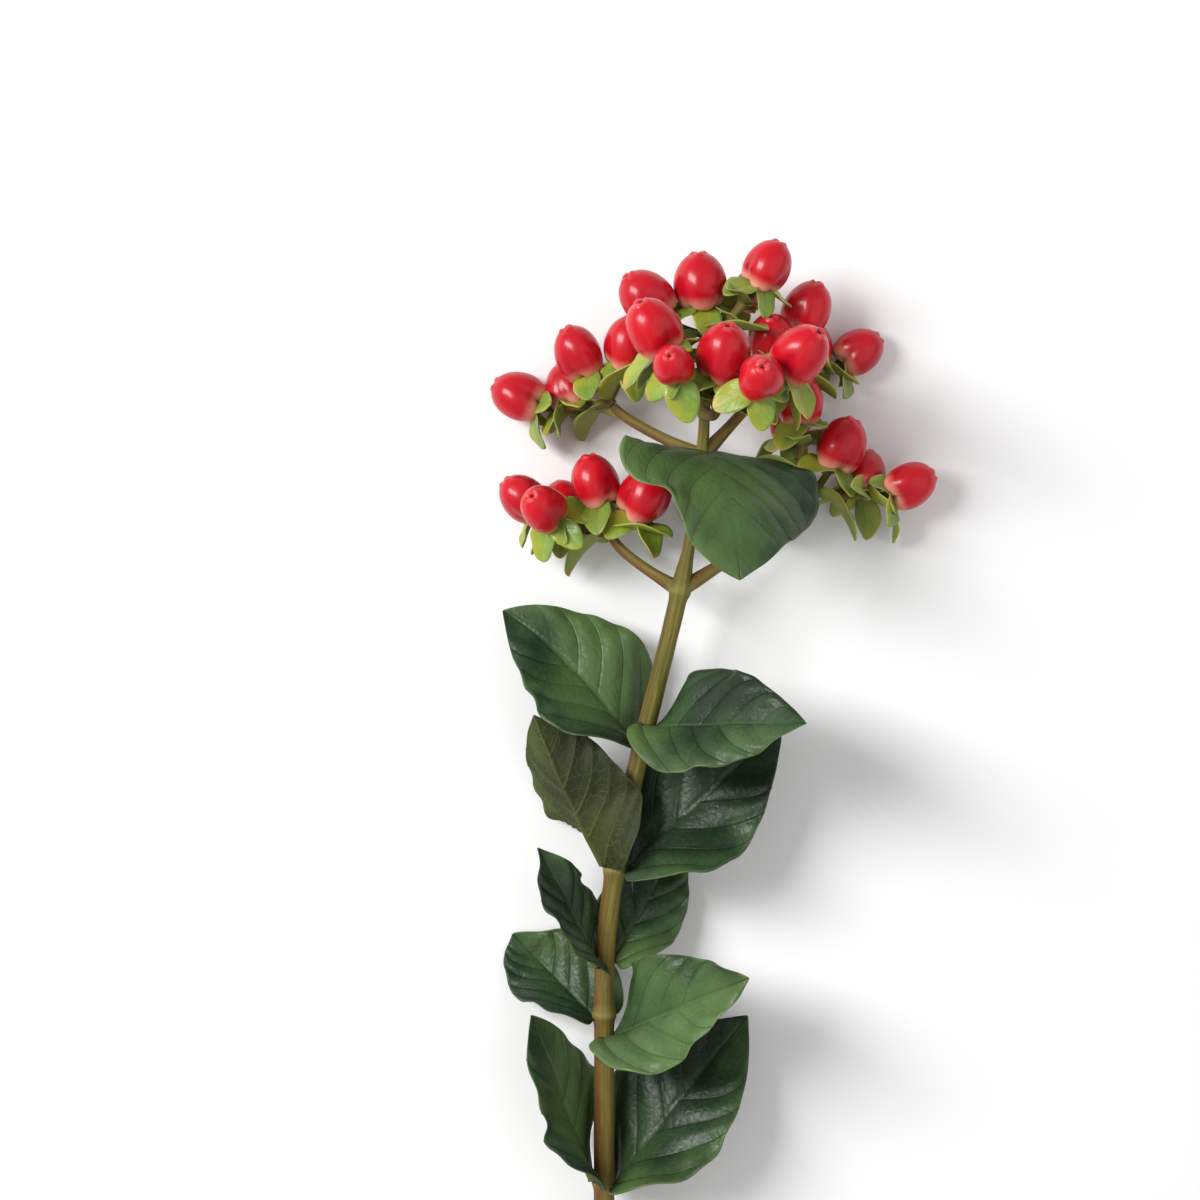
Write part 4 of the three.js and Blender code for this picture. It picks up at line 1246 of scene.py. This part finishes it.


# %% [markdown]
# ### Berry skin
#
# A ripe berry has a taut, glossy skin. Its colours lie over one another: a red with faint streaks,
# painted shade of a darker crimson in the low part of each seam, a pale pink blush where it rises from
# its sepals, partly its own colour and partly painted light shining through its thin edge, three knobs
# painted paler as a highlight round a dark tip, and a deeper red on some berries. The dried styles are
# brown. A clear coat gives the sharp highlight, and a little subsurface light keeps the flesh from
# looking like plastic.


# %% Material: berry
def berry_material():
    material, b, shader = new_material("berry skin")
    seam, height, style = b.split(attribute(b, "skin"))
    spin_x, spin_y, tone = b.split(attribute(b, "turning"))
    apart = b.mul(tone, 20.0)
    streak = b.noise(b.join(b.mul(spin_x, 5.0), b.mul(spin_y, 5.0), apart), 1.0, 3.0)
    mottle = group(b, MOTTLE, {
        "Vector": b.join(spin_x, spin_y, b.add(b.mul(height, 0.5), apart)),
        "Patch size": 0.9, "Speck size": 0.12, "Colour": (0.48, 0.002, 0.010),
        "Patch colour": (0.57, 0.005, 0.015), "Patches": 0.8, "Specks": 0.06,
    })
    uneven = b.add(height, b.mul(b.sub(streak, 0.5), 0.05))
    # The knobs of the tip, painted paler as a highlight below.
    knob_highlight = b.mul(b.ease(height, 0.87, 0.91), b.ease(height, 0.975, 0.945), b.sub(1.0, seam))
    colour = layered(b, mottle["Colour"], [
        ((0.46, 0.006, 0.02), 0.08, b.ease(streak, 0.45, 0.75)),
        # Painted shade: a darker crimson low in each seam.
        ((0.34, 0.004, 0.015), 0.6, b.mul(seam, b.ease(height, 0.75, 0.4))),
        # The pale blush at the base: partly the skin's own colour, partly painted light through its thin
        # edge.
        ((0.92, 0.42, 0.31), 0.9, b.ease(uneven, 0.38, 0.19)),
        # Painted highlight on the three knobs of the tip.
        ((0.86, 0.12, 0.12), 0.45, knob_highlight),
        ((0.20, 0.005, 0.010), b.add(0.25, b.mul(seam, 0.6)), b.ease(height, 0.945, 0.985)),
        ((0.36, 0.003, 0.014), 0.4, b.math("MAXIMUM", b.mul(tone, -1.0), 0.0)),
    ])
    b.fill(shader.inputs, {
        "Base Color": b.mix(style, colour, (0.11, 0.016, 0.010)),
        "Roughness": b.ease(mottle["Speck"], 0.3, 0.7, 0.3, 0.38),
        "Normal": bump(b, b.add(mottle["Speck"], b.mul(streak, 0.4)), 0.04),
        "Specular IOR Level": 0.22,
        "Coat Weight": b.ease(style, 0.0, 1.0, 0.38, 0.0), "Coat Roughness": 0.16, "Coat IOR": 1.4,
        "Subsurface Weight": 0.15, "Subsurface Radius": (1.0, 0.2, 0.1), "Subsurface Scale": 0.0012,
    })
    return material


BERRY_SKIN = berry_material()
print("material:", BERRY_SKIN.name)

# %% [markdown]
# ## Blades become meshes
#
# A blade has an upper and an under face, close together and closer still at the rim, joined by a narrow
# wall. Three attributes ride on its points: `place` is the map for the veins and the side, `flat` is the
# place on the blade in millimetres with a tone for the piece, and `upward` is the normal that the
# relief follows. A Solidify modifier would give a sheet the same thickness everywhere, with a blunt rim.


# %% Blade mesh
def blade_arrays(grid, half, length, tone, stations, thickness, rim_share=0.35):
    """Points, place, flat and upward of a blade's two faces, and its polygons."""
    rows, columns = grid.shape[:2]
    count = rows * columns
    normal = face_normals(grid)
    u, v = np.broadcast_arrays(np.linspace(-1, 1, columns)[None, :], np.asarray(stations)[:, None])
    thin = lerp(1, rim_share, abs(u) ** 3)[..., None] * thickness / 2
    flat = np.stack([u * half[:, None], v * length, np.full_like(u, tone)], axis=-1)
    two_faces = [
        (grid + normal * thin * side, np.stack([u, v, np.full_like(u, side)], axis=-1), flat, normal)
        for side in (1, -1)
    ]
    index = np.arange(count).reshape(rows, columns)
    a, b, c, d = index[:-1, :-1], index[:-1, 1:], index[1:, 1:], index[1:, :-1]
    top = np.stack([a, d, c, b], axis=-1).reshape(-1, 4)
    low = np.stack([a, b, c, d], axis=-1).reshape(-1, 4) + count
    rim = np.concatenate([index[0, :-1], index[:-1, -1], index[-1, :0:-1], index[:0:-1, 0]])
    after = np.roll(rim, -1)
    wall = np.stack([rim, after, after + count, rim + count], axis=-1)
    packed = [np.concatenate(part).reshape(-1, 3) for part in zip(*two_faces)]
    return packed, np.concatenate([top, low, wall])


def join_blades(blades):
    """One set of arrays from several blades."""
    packed, faces, count = [], [], 0
    for arrays, these in blades:
        packed.append(arrays)
        faces.append(these + count)
        count += len(arrays[0])
    return [np.concatenate(part) for part in zip(*packed)], np.concatenate(faces)


def blade_object(name, blades, **values):
    (points, place, flat, upward), faces = join_blades(blades)
    attributes = {"place": place, "flat": flat, "upward": upward}
    made = make_mesh(name, points, faces.tolist(), attributes=attributes)
    return kept_above(finish_growth(made, RELIEF, **values), 0.1)


print("attributes of a blade: place, flat and upward")


# %% [markdown]
# ### Leaves
#
# The fine grid has a row every half millimetre. Its base is held off the stem, as a clasping leaf folds
# round it, and the margin gets a second, tighter wave. A cloth run could crimp the margin as well, but
# a few sine waves are enough, and each leaf's number shifts them.

# %% Fine leaves
LEAF_ROWS, LEAF_COLUMNS_FINE = 92, 40
LEAF_THICK = 0.42
STEM_GAP, TABLE_GAP = 0.35, 0.6


def off_the_stem(grid):
    """Pushes what would cut into the stem out to its bark."""
    middle = stem_point(grid[..., 1])
    away = grid - middle
    far = np.linalg.norm(away, axis=-1, keepdims=True)
    needed = (stem_radius(grid[..., 1]) + STEM_GAP)[..., None]
    return np.where(far < needed, middle + away / np.maximum(far, 1e-6) * needed, grid)


def waves_of(index, u, v, half):
    """The tighter wave of a leaf's margin and the slow billows of its face, in millimetres."""
    crimp = np.sin(2 * np.pi * (5.3 * v + draw(index + 5) + (u < 0) * 0.41)) * abs(u) ** 5
    crimp = crimp * 0.45 * np.sqrt(np.abs(np.sin(np.pi * v))) * (1 + 0.5 * np.sin(9 * v + index))
    billow = np.sin(2.6 * u + 7 * v + index) * np.sin(9.5 * v - 2.2 * u + 2 * index)
    return crimp + billow * 0.03 * half.max() * np.sin(np.pi * v) * (1 - 0.6 * u**4)


def fine_leaf(index, name, blade):
    stations = 1 - (1 - np.linspace(0, 1, LEAF_ROWS)) ** 1.15
    grid, half = blade_grid(dict(blade, tip_half=0.12), stations, LEAF_COLUMNS_FINE)
    u, v = np.linspace(-1, 1, LEAF_COLUMNS_FINE + 1)[None, :], stations[:, None]
    grid = off_the_stem(grid + face_normals(grid) * waves_of(index, u, v, half)[..., None])
    grid[..., 2] = np.maximum(grid[..., 2], TABLE_GAP)
    arrays = blade_arrays(grid, half, blade["length"], blade["tone"], stations, LEAF_THICK)
    return blade_object(
        name + "_blade", [arrays], material=LEAF_SKIN, vein_pairs=5.5, quilt=0.72, groove=0.17, rib=0.4
    )


leaf_objects = {name: fine_leaf(i, name, blade) for i, (name, blade) in enumerate(leaf_blades.items())}
print("leaves:", len(leaf_objects), "faces each:", len(leaf_objects["leaf_1_front"].data.polygons))

# %% [markdown]
# ### Sepals and bracts
#
# These keep the place, turn and size that the search chose. Their tips are rounded, and they are cupped
# a little, like small spoons. One spoon could be copied everywhere, but each was turned and cut short to
# its own room, so each is grown again.

# %% Fine sepals and bracts
SEPAL_ROWS, SEPAL_COLUMNS = 18, 10
SEPAL_THICK, BRACT_THICK = 0.5, 0.45


def small_blade(blade, tone, cup, thickness):
    stations = np.sin(np.linspace(0, np.pi / 2, SEPAL_ROWS)) ** 1.05
    rounded = dict(oval=0.85, cup=cup, wave=0.3, waves=1.4, phase=tone)
    finer = dict(blade, length=blade["length"] * 1.06, **rounded)
    grid, half = blade_grid(finer, stations, SEPAL_COLUMNS, press=False)
    return blade_arrays(grid, half, blade["length"], tone, stations, thickness, 0.3)


def calyx_object(cyme):
    blades = []
    for berry, five in zip(cyme.berries, cyme.sepals):
        for k, blade in enumerate(five):
            tone, cup = 0.9 * draw(3 * berry.number + k), 0.18 + 0.12 * draw(berry.number + 9 * k)
            blades.append(small_blade(blade, tone, cup, SEPAL_THICK))
    for k, blade in enumerate(cyme.bracts):
        blades.append(small_blade(blade, 0.9 * draw(40 + 5 * cyme.index + k), 0.1, BRACT_THICK))
    name = f"spray_{cyme.name}_sepals"
    return blade_object(
        name, blades, material=SEPAL_SKIN, vein_pairs=4.0, quilt=0.05, groove=0.06, rib=0.12
    )


calyx_objects = [calyx_object(cyme) for cyme in cymes]
print("faces of sepals and bracts:", sum(len(o.data.polygons) for o in calyx_objects))

# %% [markdown]
# ## Wood by Geometry Nodes
#
# The stem, its branches and the berries' stalks are all a round section carried along a path. The tree
# below takes paths as plain edges with a radius on every point. It turns them into curves, sweeps a
# ridged circle along them, and leaves a map on the surface for the bark. A bevelled curve would sweep
# a circle as well, but it leaves no such map.


# %% Wood tree
def stored(b, shape, name, value, kind="FLOAT_VECTOR"):
    return passed(b, "StoreNamedAttribute", shape, {"Name": name, "Value": value}, data_type=kind)


def ridged_circle(b, given):
    """The section to sweep: a circle, slightly oval, with six ridges, and its place stored on it."""
    circle = b.node("GeometryNodeCurvePrimitiveCircle", {"Resolution": given["Sides"], "Radius": 1.0})
    place = b.node("GeometryNodeInputPosition").outputs[0]
    section = stored(b, circle.outputs[0], "section", place)
    x, y, _ = b.split(place)
    angle = b.math("ARCTAN2", y, x)
    oval = b.mul(b.math("COSINE", b.mul(angle, 2.0)), given["Oval"])
    ridge = b.math("POWER", b.size(b.math("COSINE", b.mul(angle, 3.0))), 6.0)
    share = b.add(oval, b.mul(ridge, given["Ridge"]))
    return passed(b, "SetPosition", section, {"Offset": scaled(b, place, share)})


def wood_tree():
    tree, b, given, result = new_tree(
        "GeometryNodeTree", "Wood along a path",
        {
            "Geometry": GEOMETRY, "Sides": ("Int", 24), "Oval": ("Float", 0.05),
            "Ridge": ("Float", 0.03), "Material": MATERIAL,
        },
        {"Geometry": GEOMETRY},
    )
    curve = passed(b, "SetCurveNormal", passed(b, "MeshToCurve", given["Geometry"]), mode="Z_UP")
    length = b.node("GeometryNodeSplineParameter").outputs["Length"]
    curve = stored(b, curve, "way", length, "FLOAT")
    sweep = {"Profile Curve": ridged_circle(b, given), "Scale": named(b, "radius", "FLOAT")}
    tube = passed(b, "CurveToMesh", curve, {**sweep, "Fill Caps": True})
    round_x, round_y, _ = b.split(named(b, "section"))
    grain = b.join(round_x, round_y, named(b, "way", "FLOAT"))
    finished(b, stored(b, tube, "grain", grain), given, result)
    return tree


WOOD = wood_tree()
print("wood tree:", len(WOOD.nodes), "nodes")


# %% Wood along paths
def wood_object(name, paths, **values):
    """paths is a list of (points, radii, ages); radii in millimetres."""
    edges, radii, ages, count = [], [], [], 0
    for points, radius, age in paths:
        edges += [(count + i, count + i + 1) for i in range(len(points) - 1)]
        radii.append(np.broadcast_to(radius, len(points)) / 1000)
        ages.append(np.broadcast_to(age, len(points)))
        count += len(points)
    attributes = {"radius": np.concatenate(radii), "age": np.concatenate(ages)}
    every_point = np.concatenate([points for points, _, _ in paths])
    return finish_growth(make_mesh(name, every_point, edges=edges, attributes=attributes), WOOD, **values)


print("a path is told by its points, radii and ages")


# %% [markdown]
# ### The main stem and its branches
#
# The rings stand closer at the joints, where a crease runs round the stem under the leaves. The branches
# start inside the stem with a wide root, so each one grows out of a collar. Below, the cut runs
# slanting through the stem, and the table holds its lowest part flat. A Boolean could make the cut, but
# sliding the last rings on to its slant keeps the mesh and its map whole.

# %% Stem and branches
STEM_SIDES = 28
RING_STEP, FINE_STEP, LEAST_STEP = 1.2, 0.35, 0.12
BELOW_CUT = -4
heights = np.concatenate(
    [np.arange(BELOW_CUT, STEM_LENGTH - 0.2, RING_STEP)]
    + [np.arange(joint - 3.5, joint + 3.5, FINE_STEP) for joint in JOINTS]
)
heights = np.unique(heights.round(3))
heights = heights[np.concatenate([[True], np.diff(heights) > LEAST_STEP])]
radii = stem_radius(heights)
for joint in JOINTS:
    radii = radii - 0.13 * hill(heights - joint, 0.5, 0.4)
    radii = radii + 0.09 * hill(heights - joint, -0.6, 0.5)
radii = radii * (1 + 0.012 * np.sin(heights * 0.7) + 0.01 * np.sin(heights * 0.23 + 1))
ages = np.clip(1.3 - heights / 195, 0, 1)
paths = [(stem_point(heights), radii, ages)]
t = np.linspace(0, 1, 40)
for cyme in cymes:
    if cyme.branched:
        thickness = 0.86 * lerp(BRANCH_ROOT, BRANCH_RADIUS, t) + 0.4 * hill(t, 0, 0.16)
        paths.append((bezier(*branch_curve(cyme), t), thickness, 0.5))
stem = wood_object("stem_wood", paths, material=BARK, sides=STEM_SIDES, ridge=0.045)
print("rings along the stem:", len(heights))

# %% Scars, the slanted cut and the flat of the table
SCAR_LIFT = 0.35
CUT_PLACE, CUT_REACH = 2.0, 10
points = coordinates(stem.data)
away = points - stem_point(points[:, 1])
far = np.linalg.norm(away, axis=1)
angle = np.arctan2(away[:, 2], away[:, 0])
pale = np.max([hill(points[:, 1], joint, 1.1) for joint in JOINTS], axis=0) * (far < 3.1)
scar = np.zeros(len(points))
for n, joint in enumerate(SCAR_JOINTS):
    for side in (0, np.pi):
        off_angle = np.angle(np.exp(1j * (angle - side - n * np.pi / 2)))
        spot = (off_angle / 0.75) ** 2 + (points[:, 1] - joint - 0.2) ** 2
        scar = np.maximum(scar, np.exp(-(spot**2)) * (far < 3.1))
points += away / np.maximum(far, 1e-6)[:, None] * scar[:, None] * SCAR_LIFT
cut_y = CUT_PLACE + (points[:, 2] - REST_HEIGHT) * math.tan(math.radians(CUT_SLANT))
low = points[:, 1] < CUT_REACH
share = (CUT_REACH - points[:, 1]) / (CUT_REACH - BELOW_CUT)
points[low, 1] = lerp(CUT_REACH, cut_y, share)[low]
points[:, 2] = np.maximum(points[:, 2], 0)
move_points(stem.data, points)
for key, values in (("scar", scar), ("joint", pale)):
    stem.data.attributes.new(key, "FLOAT", "POINT").data.foreach_set("value", values.astype(np.float32))
print("stem:", len(stem.data.polygons), "faces")

# %% The cut face
LEVELS = [1, 0.93, 0.8, 0.6, 0.4, 0.32, 0.2, 0.08]
SUNK = [0, 0.05, 0.02, 0.04, 0.02, 0.25, 0.32, 0.34]
SAW_MARKS = 0.05


def ring_faces(rings, sides, inward=False):
    """Quads between rings of points, each ring numbered on from the one before."""
    faces = []
    for first in range(0, (rings - 1) * sides, sides):
        for j in range(sides):
            a, b = first + j, first + (j + 1) % sides
            if inward:
                a, b = b, a
            faces.append((a, b, b + sides, a + sides))
    return faces


ring = points[:STEM_SIDES]
middle = vec(ring[:, 0].mean(), CUT_PLACE, REST_HEIGHT)
inward = vec(0, math.cos(math.radians(CUT_SLANT)), -math.sin(math.radians(CUT_SLANT)))
disc, mark = [], []
for level, depth in zip(LEVELS, SUNK):
    for j, point in enumerate(ring):
        rough = SAW_MARKS * draw(17 * j + level) if depth else 0
        disc.append(lerp(middle, point, level) + inward * (depth + rough))
        turn = 2 * np.pi * j / STEM_SIDES
        mark.append((level * math.cos(turn), level * math.sin(turn), level))
faces = ring_faces(len(LEVELS), STEM_SIDES, inward=True)
faces.append(tuple(reversed(range(len(disc) - STEM_SIDES, len(disc)))))
cut_face = make_mesh("stem_cut", disc, faces, attributes={"section": mark})
cut_face.data.materials.append(CUT_WOOD)
cut_face.data.shade_smooth()
print("cut face looks along", [round(x, 2) for x in cut_face.data.polygons[-1].normal])

# %% [markdown]
# ### Stalks of the cymes
#
# Each cyme sits on its branch with a short knuckle. A stalk thins a little in its middle and widens under
# the berry, where the five sepals are attached.


# %% Cyme stalks
def stalk_paths(cyme):
    t = np.linspace(0, 1, 22)
    knuckle = cyme.tip + cyme.aim * np.linspace(0.3, 3.2, 8)[:, None]
    paths = [(knuckle, np.linspace(BRANCH_RADIUS + 0.1, BRANCH_RADIUS - 0.15, 8), 0.4)]
    for fork in cyme.forks[1:]:
        radius = lerp(STALK_RADIUS + 0.25, STALK_RADIUS + 0.1, t) + 0.35 * hill(t, 1, 0.12)
        paths.append((bezier(*link_curve(cyme, fork), t), radius, 0.35))
    for berry in cyme.berries:
        start, bend, end = stalk_curve(berry)
        end = berry.seat - berry.aim * 0.1
        flare = 1.35 * np.clip((t - 0.8) / 0.2, 0, 1) ** 2
        radius = lerp(STALK_RADIUS, STALK_RADIUS + 0.15, t) + flare - 0.1 * np.sin(np.pi * t)
        paths.append((bezier(start, bend, end, t), radius, 0.3 + 0.3 * draw(berry.number + 3)))
    return paths


stalk_objects = [
    wood_object(f"spray_{cyme.name}_stalks", stalk_paths(cyme), material=STALK_SKIN, sides=14)
    for cyme in cymes
]
print("faces of stalks:", sum(len(o.data.polygons) for o in stalk_objects))

# %% [markdown]
# ## Berries
#
# One unit berry is modelled with care: widest below its middle, three shallow seams that deepen towards
# the notched base, and on its tip a dimple with the dried ends of three styles. A scaled sphere has
# none of these. Geometry Nodes then set one on every seat, turned to its line and stretched to its
# size, and make them real, because berries differ in size and tone and hardly in form.

# %% The skin of the unit berry
RINGS, TIP_RINGS, ROUND = 40, 12, 54
FIRST_RING, TIP_FROM, LAST_RING = 0.12, 2.6, 3.12
polar = np.concatenate([
    np.linspace(FIRST_RING, TIP_FROM, RINGS - TIP_RINGS, endpoint=False),
    np.linspace(TIP_FROM, LAST_RING, TIP_RINGS),
])
down, spin = np.meshgrid(polar, np.linspace(0, 2 * np.pi, ROUND, endpoint=False), indexing="ij")
seam = (1 - np.abs(np.sin(1.5 * spin))) ** 1.2
depth = 0.32 * hill(down, 0.2, 0.85) + 0.09 * hill(down, 1.35, 0.6) + 0.16 * hill(down, 2.95, 0.22)
knob = (1 - seam) ** 1.6 * hill(down, 2.9, 0.1)
full = lerp(0.62, 0.92, down / np.pi)
reach = np.sin(down) ** full * (1 + 0.17 * np.cos(down)) * (1 - depth * seam)
reach = reach * (1 + 0.12 * knob)
rise = -np.cos(down) + 0.14 * hill(down, 0, 0.3) + (0.28 * seam - 0.09) * hill(down, 0.52, 0.36)
rise = rise + 0.06 * knob - 0.08 * hill(down, np.pi, 0.1)


def listed(*columns):
    return np.stack(columns, axis=-1).reshape(-1, 3)


none = np.zeros_like(down)
berry_points = listed(reach * np.cos(spin), reach * np.sin(spin), rise)
skin = listed(seam, down / np.pi, none)
turning = listed(np.cos(spin), np.sin(spin), none)
berry_faces = ring_faces(RINGS, ROUND)
berry_faces += [tuple(reversed(range(ROUND))), tuple(range((RINGS - 1) * ROUND, RINGS * ROUND))]
print("skin of the unit berry:", len(berry_faces), "faces")

# %% The dried styles, and the unit berry
STYLE_PATH = [(0.03, 0.86, 0.03), (0.035, 0.94, 0.026), (0.05, 0.965, 0.022), (0.08, 0.975, 0.016)]
STYLE_SIDES = 6


def style_stub(turn):
    """One dried end of a style: a bent, tapering peg on the tip."""
    out = vec(math.cos(turn), math.sin(turn), 0)
    beside = np.cross(UP, out)
    points = []
    for away, height, radius in STYLE_PATH:
        for a in np.linspace(0, 2 * np.pi, STYLE_SIDES, endpoint=False):
            point = out * away + UP * height + radius * (out * math.cos(a) + beside * math.sin(a))
            points.append(point + UP * radius * 0.5 * -math.cos(a))
    faces = ring_faces(len(STYLE_PATH), STYLE_SIDES)
    return np.array(points), faces + [tuple(range(len(points) - STYLE_SIDES, len(points)))]


for n in range(3):
    stub, faces = style_stub(2 * np.pi * n / 3 + 0.4)
    berry_faces += [tuple(i + len(berry_points) for i in face) for face in faces]
    berry_points = np.concatenate([berry_points, stub])
    skin = np.concatenate([skin, np.tile([0, 1, 1], (len(stub), 1))])
    turning = np.concatenate([turning, np.zeros((len(stub), 3))])
unit_berry = make_mesh(
    "unit_berry", berry_points * 1000 - SHIFT, berry_faces,
    attributes={"skin": skin, "turning": turning},
)
print("unit berry:", len(unit_berry.data.polygons), "faces")


# %% Berry tree
def berry_tree():
    tree, b, given, result = new_tree(
        "GeometryNodeTree", "Berries on their seats",
        {"Geometry": GEOMETRY, "Berry": ("Object", None), "Material": MATERIAL},
        {"Geometry": GEOMETRY},
    )
    aimed = b.node("FunctionNodeAlignRotationToVector", {"Vector": named(b, "aim")}, axis="Z")
    spun = {"Axis": (0, 0, 1), "Angle": named(b, "spin", "FLOAT")}
    about = b.node("FunctionNodeAxisAngleToRotation", spun)
    turn = {"Rotation": aimed.outputs[0], "Rotate By": about.outputs[0]}
    turn = b.node("FunctionNodeRotateRotation", turn, rotation_space="LOCAL").outputs[0]
    berry = b.node("GeometryNodeObjectInfo", {"Object": given["Berry"]}).outputs["Geometry"]
    seats = passed(b, "MeshToPoints", given["Geometry"])
    set_on = {"Instance": berry, "Rotation": turn, "Scale": named(b, "size")}
    real = passed(b, "RealizeInstances", passed(b, "InstanceOnPoints", seats, set_on))
    turned_x, turned_y, _ = b.split(named(b, "turning"))
    toned = b.join(turned_x, turned_y, named(b, "tone", "FLOAT"))
    finished(b, stored(b, real, "turning", toned), given, result)
    return tree


BERRIES = berry_tree()
print("berry tree:", len(BERRIES.nodes), "nodes")


# %% Berries on their seats
def berry_object(cyme):
    numbers = [berry.number for berry in cyme.berries]
    attributes = {
        "aim": [berry.aim for berry in cyme.berries],
        "size": np.array([(b.radius, b.radius, b.tall) for b in cyme.berries]) / 1000,
        "spin": [3 * draw(n + 0.2) for n in numbers],
        "tone": [draw(n + 0.8) for n in numbers],
    }
    centres = [berry.centre for berry in cyme.berries]
    seed = make_mesh(f"spray_{cyme.name}_berries", centres, attributes=attributes)
    return kept_above(finish_growth(seed, BERRIES, berry=unit_berry, material=BERRY_SKIN), 0)


berry_objects = [berry_object(cyme) for cyme in cymes]
bpy.data.objects.remove(unit_berry)
print("faces of berries:", sum(len(o.data.polygons) for o in berry_objects))

# %% [markdown]
# ## Everything rides on the frame
#
# Every fine piece stands for its CAD node and rides on the one body.


# %% Ride and replace
def dress(piece, node):
    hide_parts(node)
    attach(piece, "root")


for piece in (stem, cut_face):
    dress(piece, "stem")
for name, piece in leaf_objects.items():
    dress(piece, name)
for cyme, stalks, sepals, fruit in zip(cymes, stalk_objects, calyx_objects, berry_objects):
    dress(stalks, f"spray_{cyme.name}")
    dress(sepals, f"spray_{cyme.name}")
    dress(fruit, f"spray_{cyme.name}")

# %% [markdown]
# ## Table, light and camera
#
# The stem lies on a pale table. The camera looks straight down on the head, with a large soft light from
# the upper left that leaves one clear highlight on every berry, and a weaker one from the right.

# %% Table
FLOOR, TABLE_HALF = -0.00005, 3
corners = [(x * TABLE_HALF, y * TABLE_HALF, FLOOR) for x, y in ((-1, -1), (1, -1), (1, 1), (-1, 1))]
floor_mesh = bpy.data.meshes.new("table")
floor_mesh.from_pydata(corners, [], [(0, 1, 2, 3)])
floor = add_object("table", floor_mesh)
paper, bench, shader = new_material("pale table")
shade = bench.noise(bench.node("ShaderNodeTexCoord").outputs["Object"], 3.0)
tint = bench.ease(shade, 0.3, 0.7, 0.86, 0.89)
bench.fill(shader.inputs, {"Base Color": bench.join(tint, tint, tint), "Roughness": 0.8})
floor_mesh.materials.append(paper)
print("table under the stem, mm:", FLOOR * 1000)

# %% Light
MM_PER_PIXEL = 0.21
IMAGE_SIZE = 1200
FORK_PIXEL = (680, 590)
fork = (stem_point(FIRST_FORK) + SHIFT) / 1000
off_centre = vec(IMAGE_SIZE / 2 - FORK_PIXEL[0], FORK_PIXEL[1] - IMAGE_SIZE / 2, 0)
centre = fork + off_centre * MM_PER_PIXEL / 1000


def add_light(name, width, height, energy, offset):
    light = bpy.data.lights.new(name, "AREA")
    light.shape = "RECTANGLE"
    light.size, light.size_y, light.energy = width, height, energy
    made = add_object(name, light)
    made.location = centre + offset
    made.rotation_euler = Vector(-offset).to_track_quat("-Z", "Y").to_euler()


add_light("key", 0.26, 0.5, 8.0, vec(-0.55, 0.22, 0.6))
add_light("fill", 1.3, 1.3, 3.0, vec(0.7, -0.1, 0.85))
world = bpy.data.worlds.new("studio")
bpy.context.scene.world = world
world.use_nodes = True
background = world.node_tree.nodes["Background"].inputs
Bench(world.node_tree).fill(background, {"Color": (1, 1, 1, 1), "Strength": 0.48})
print("lights: key, fill and a pale world")

# %% Camera
camera = bpy.data.cameras.new("camera")
camera.lens, camera.sensor_width = 85, 36
distance = IMAGE_SIZE * MM_PER_PIXEL / 1000 * camera.lens / camera.sensor_width
camera_object = add_object("camera", camera)
camera_object.location = centre + UP * distance
bpy.context.scene.camera = camera_object
bpy.context.scene.view_settings.view_transform = "Standard"
print("camera at", [round(x, 3) for x in camera_object.location])
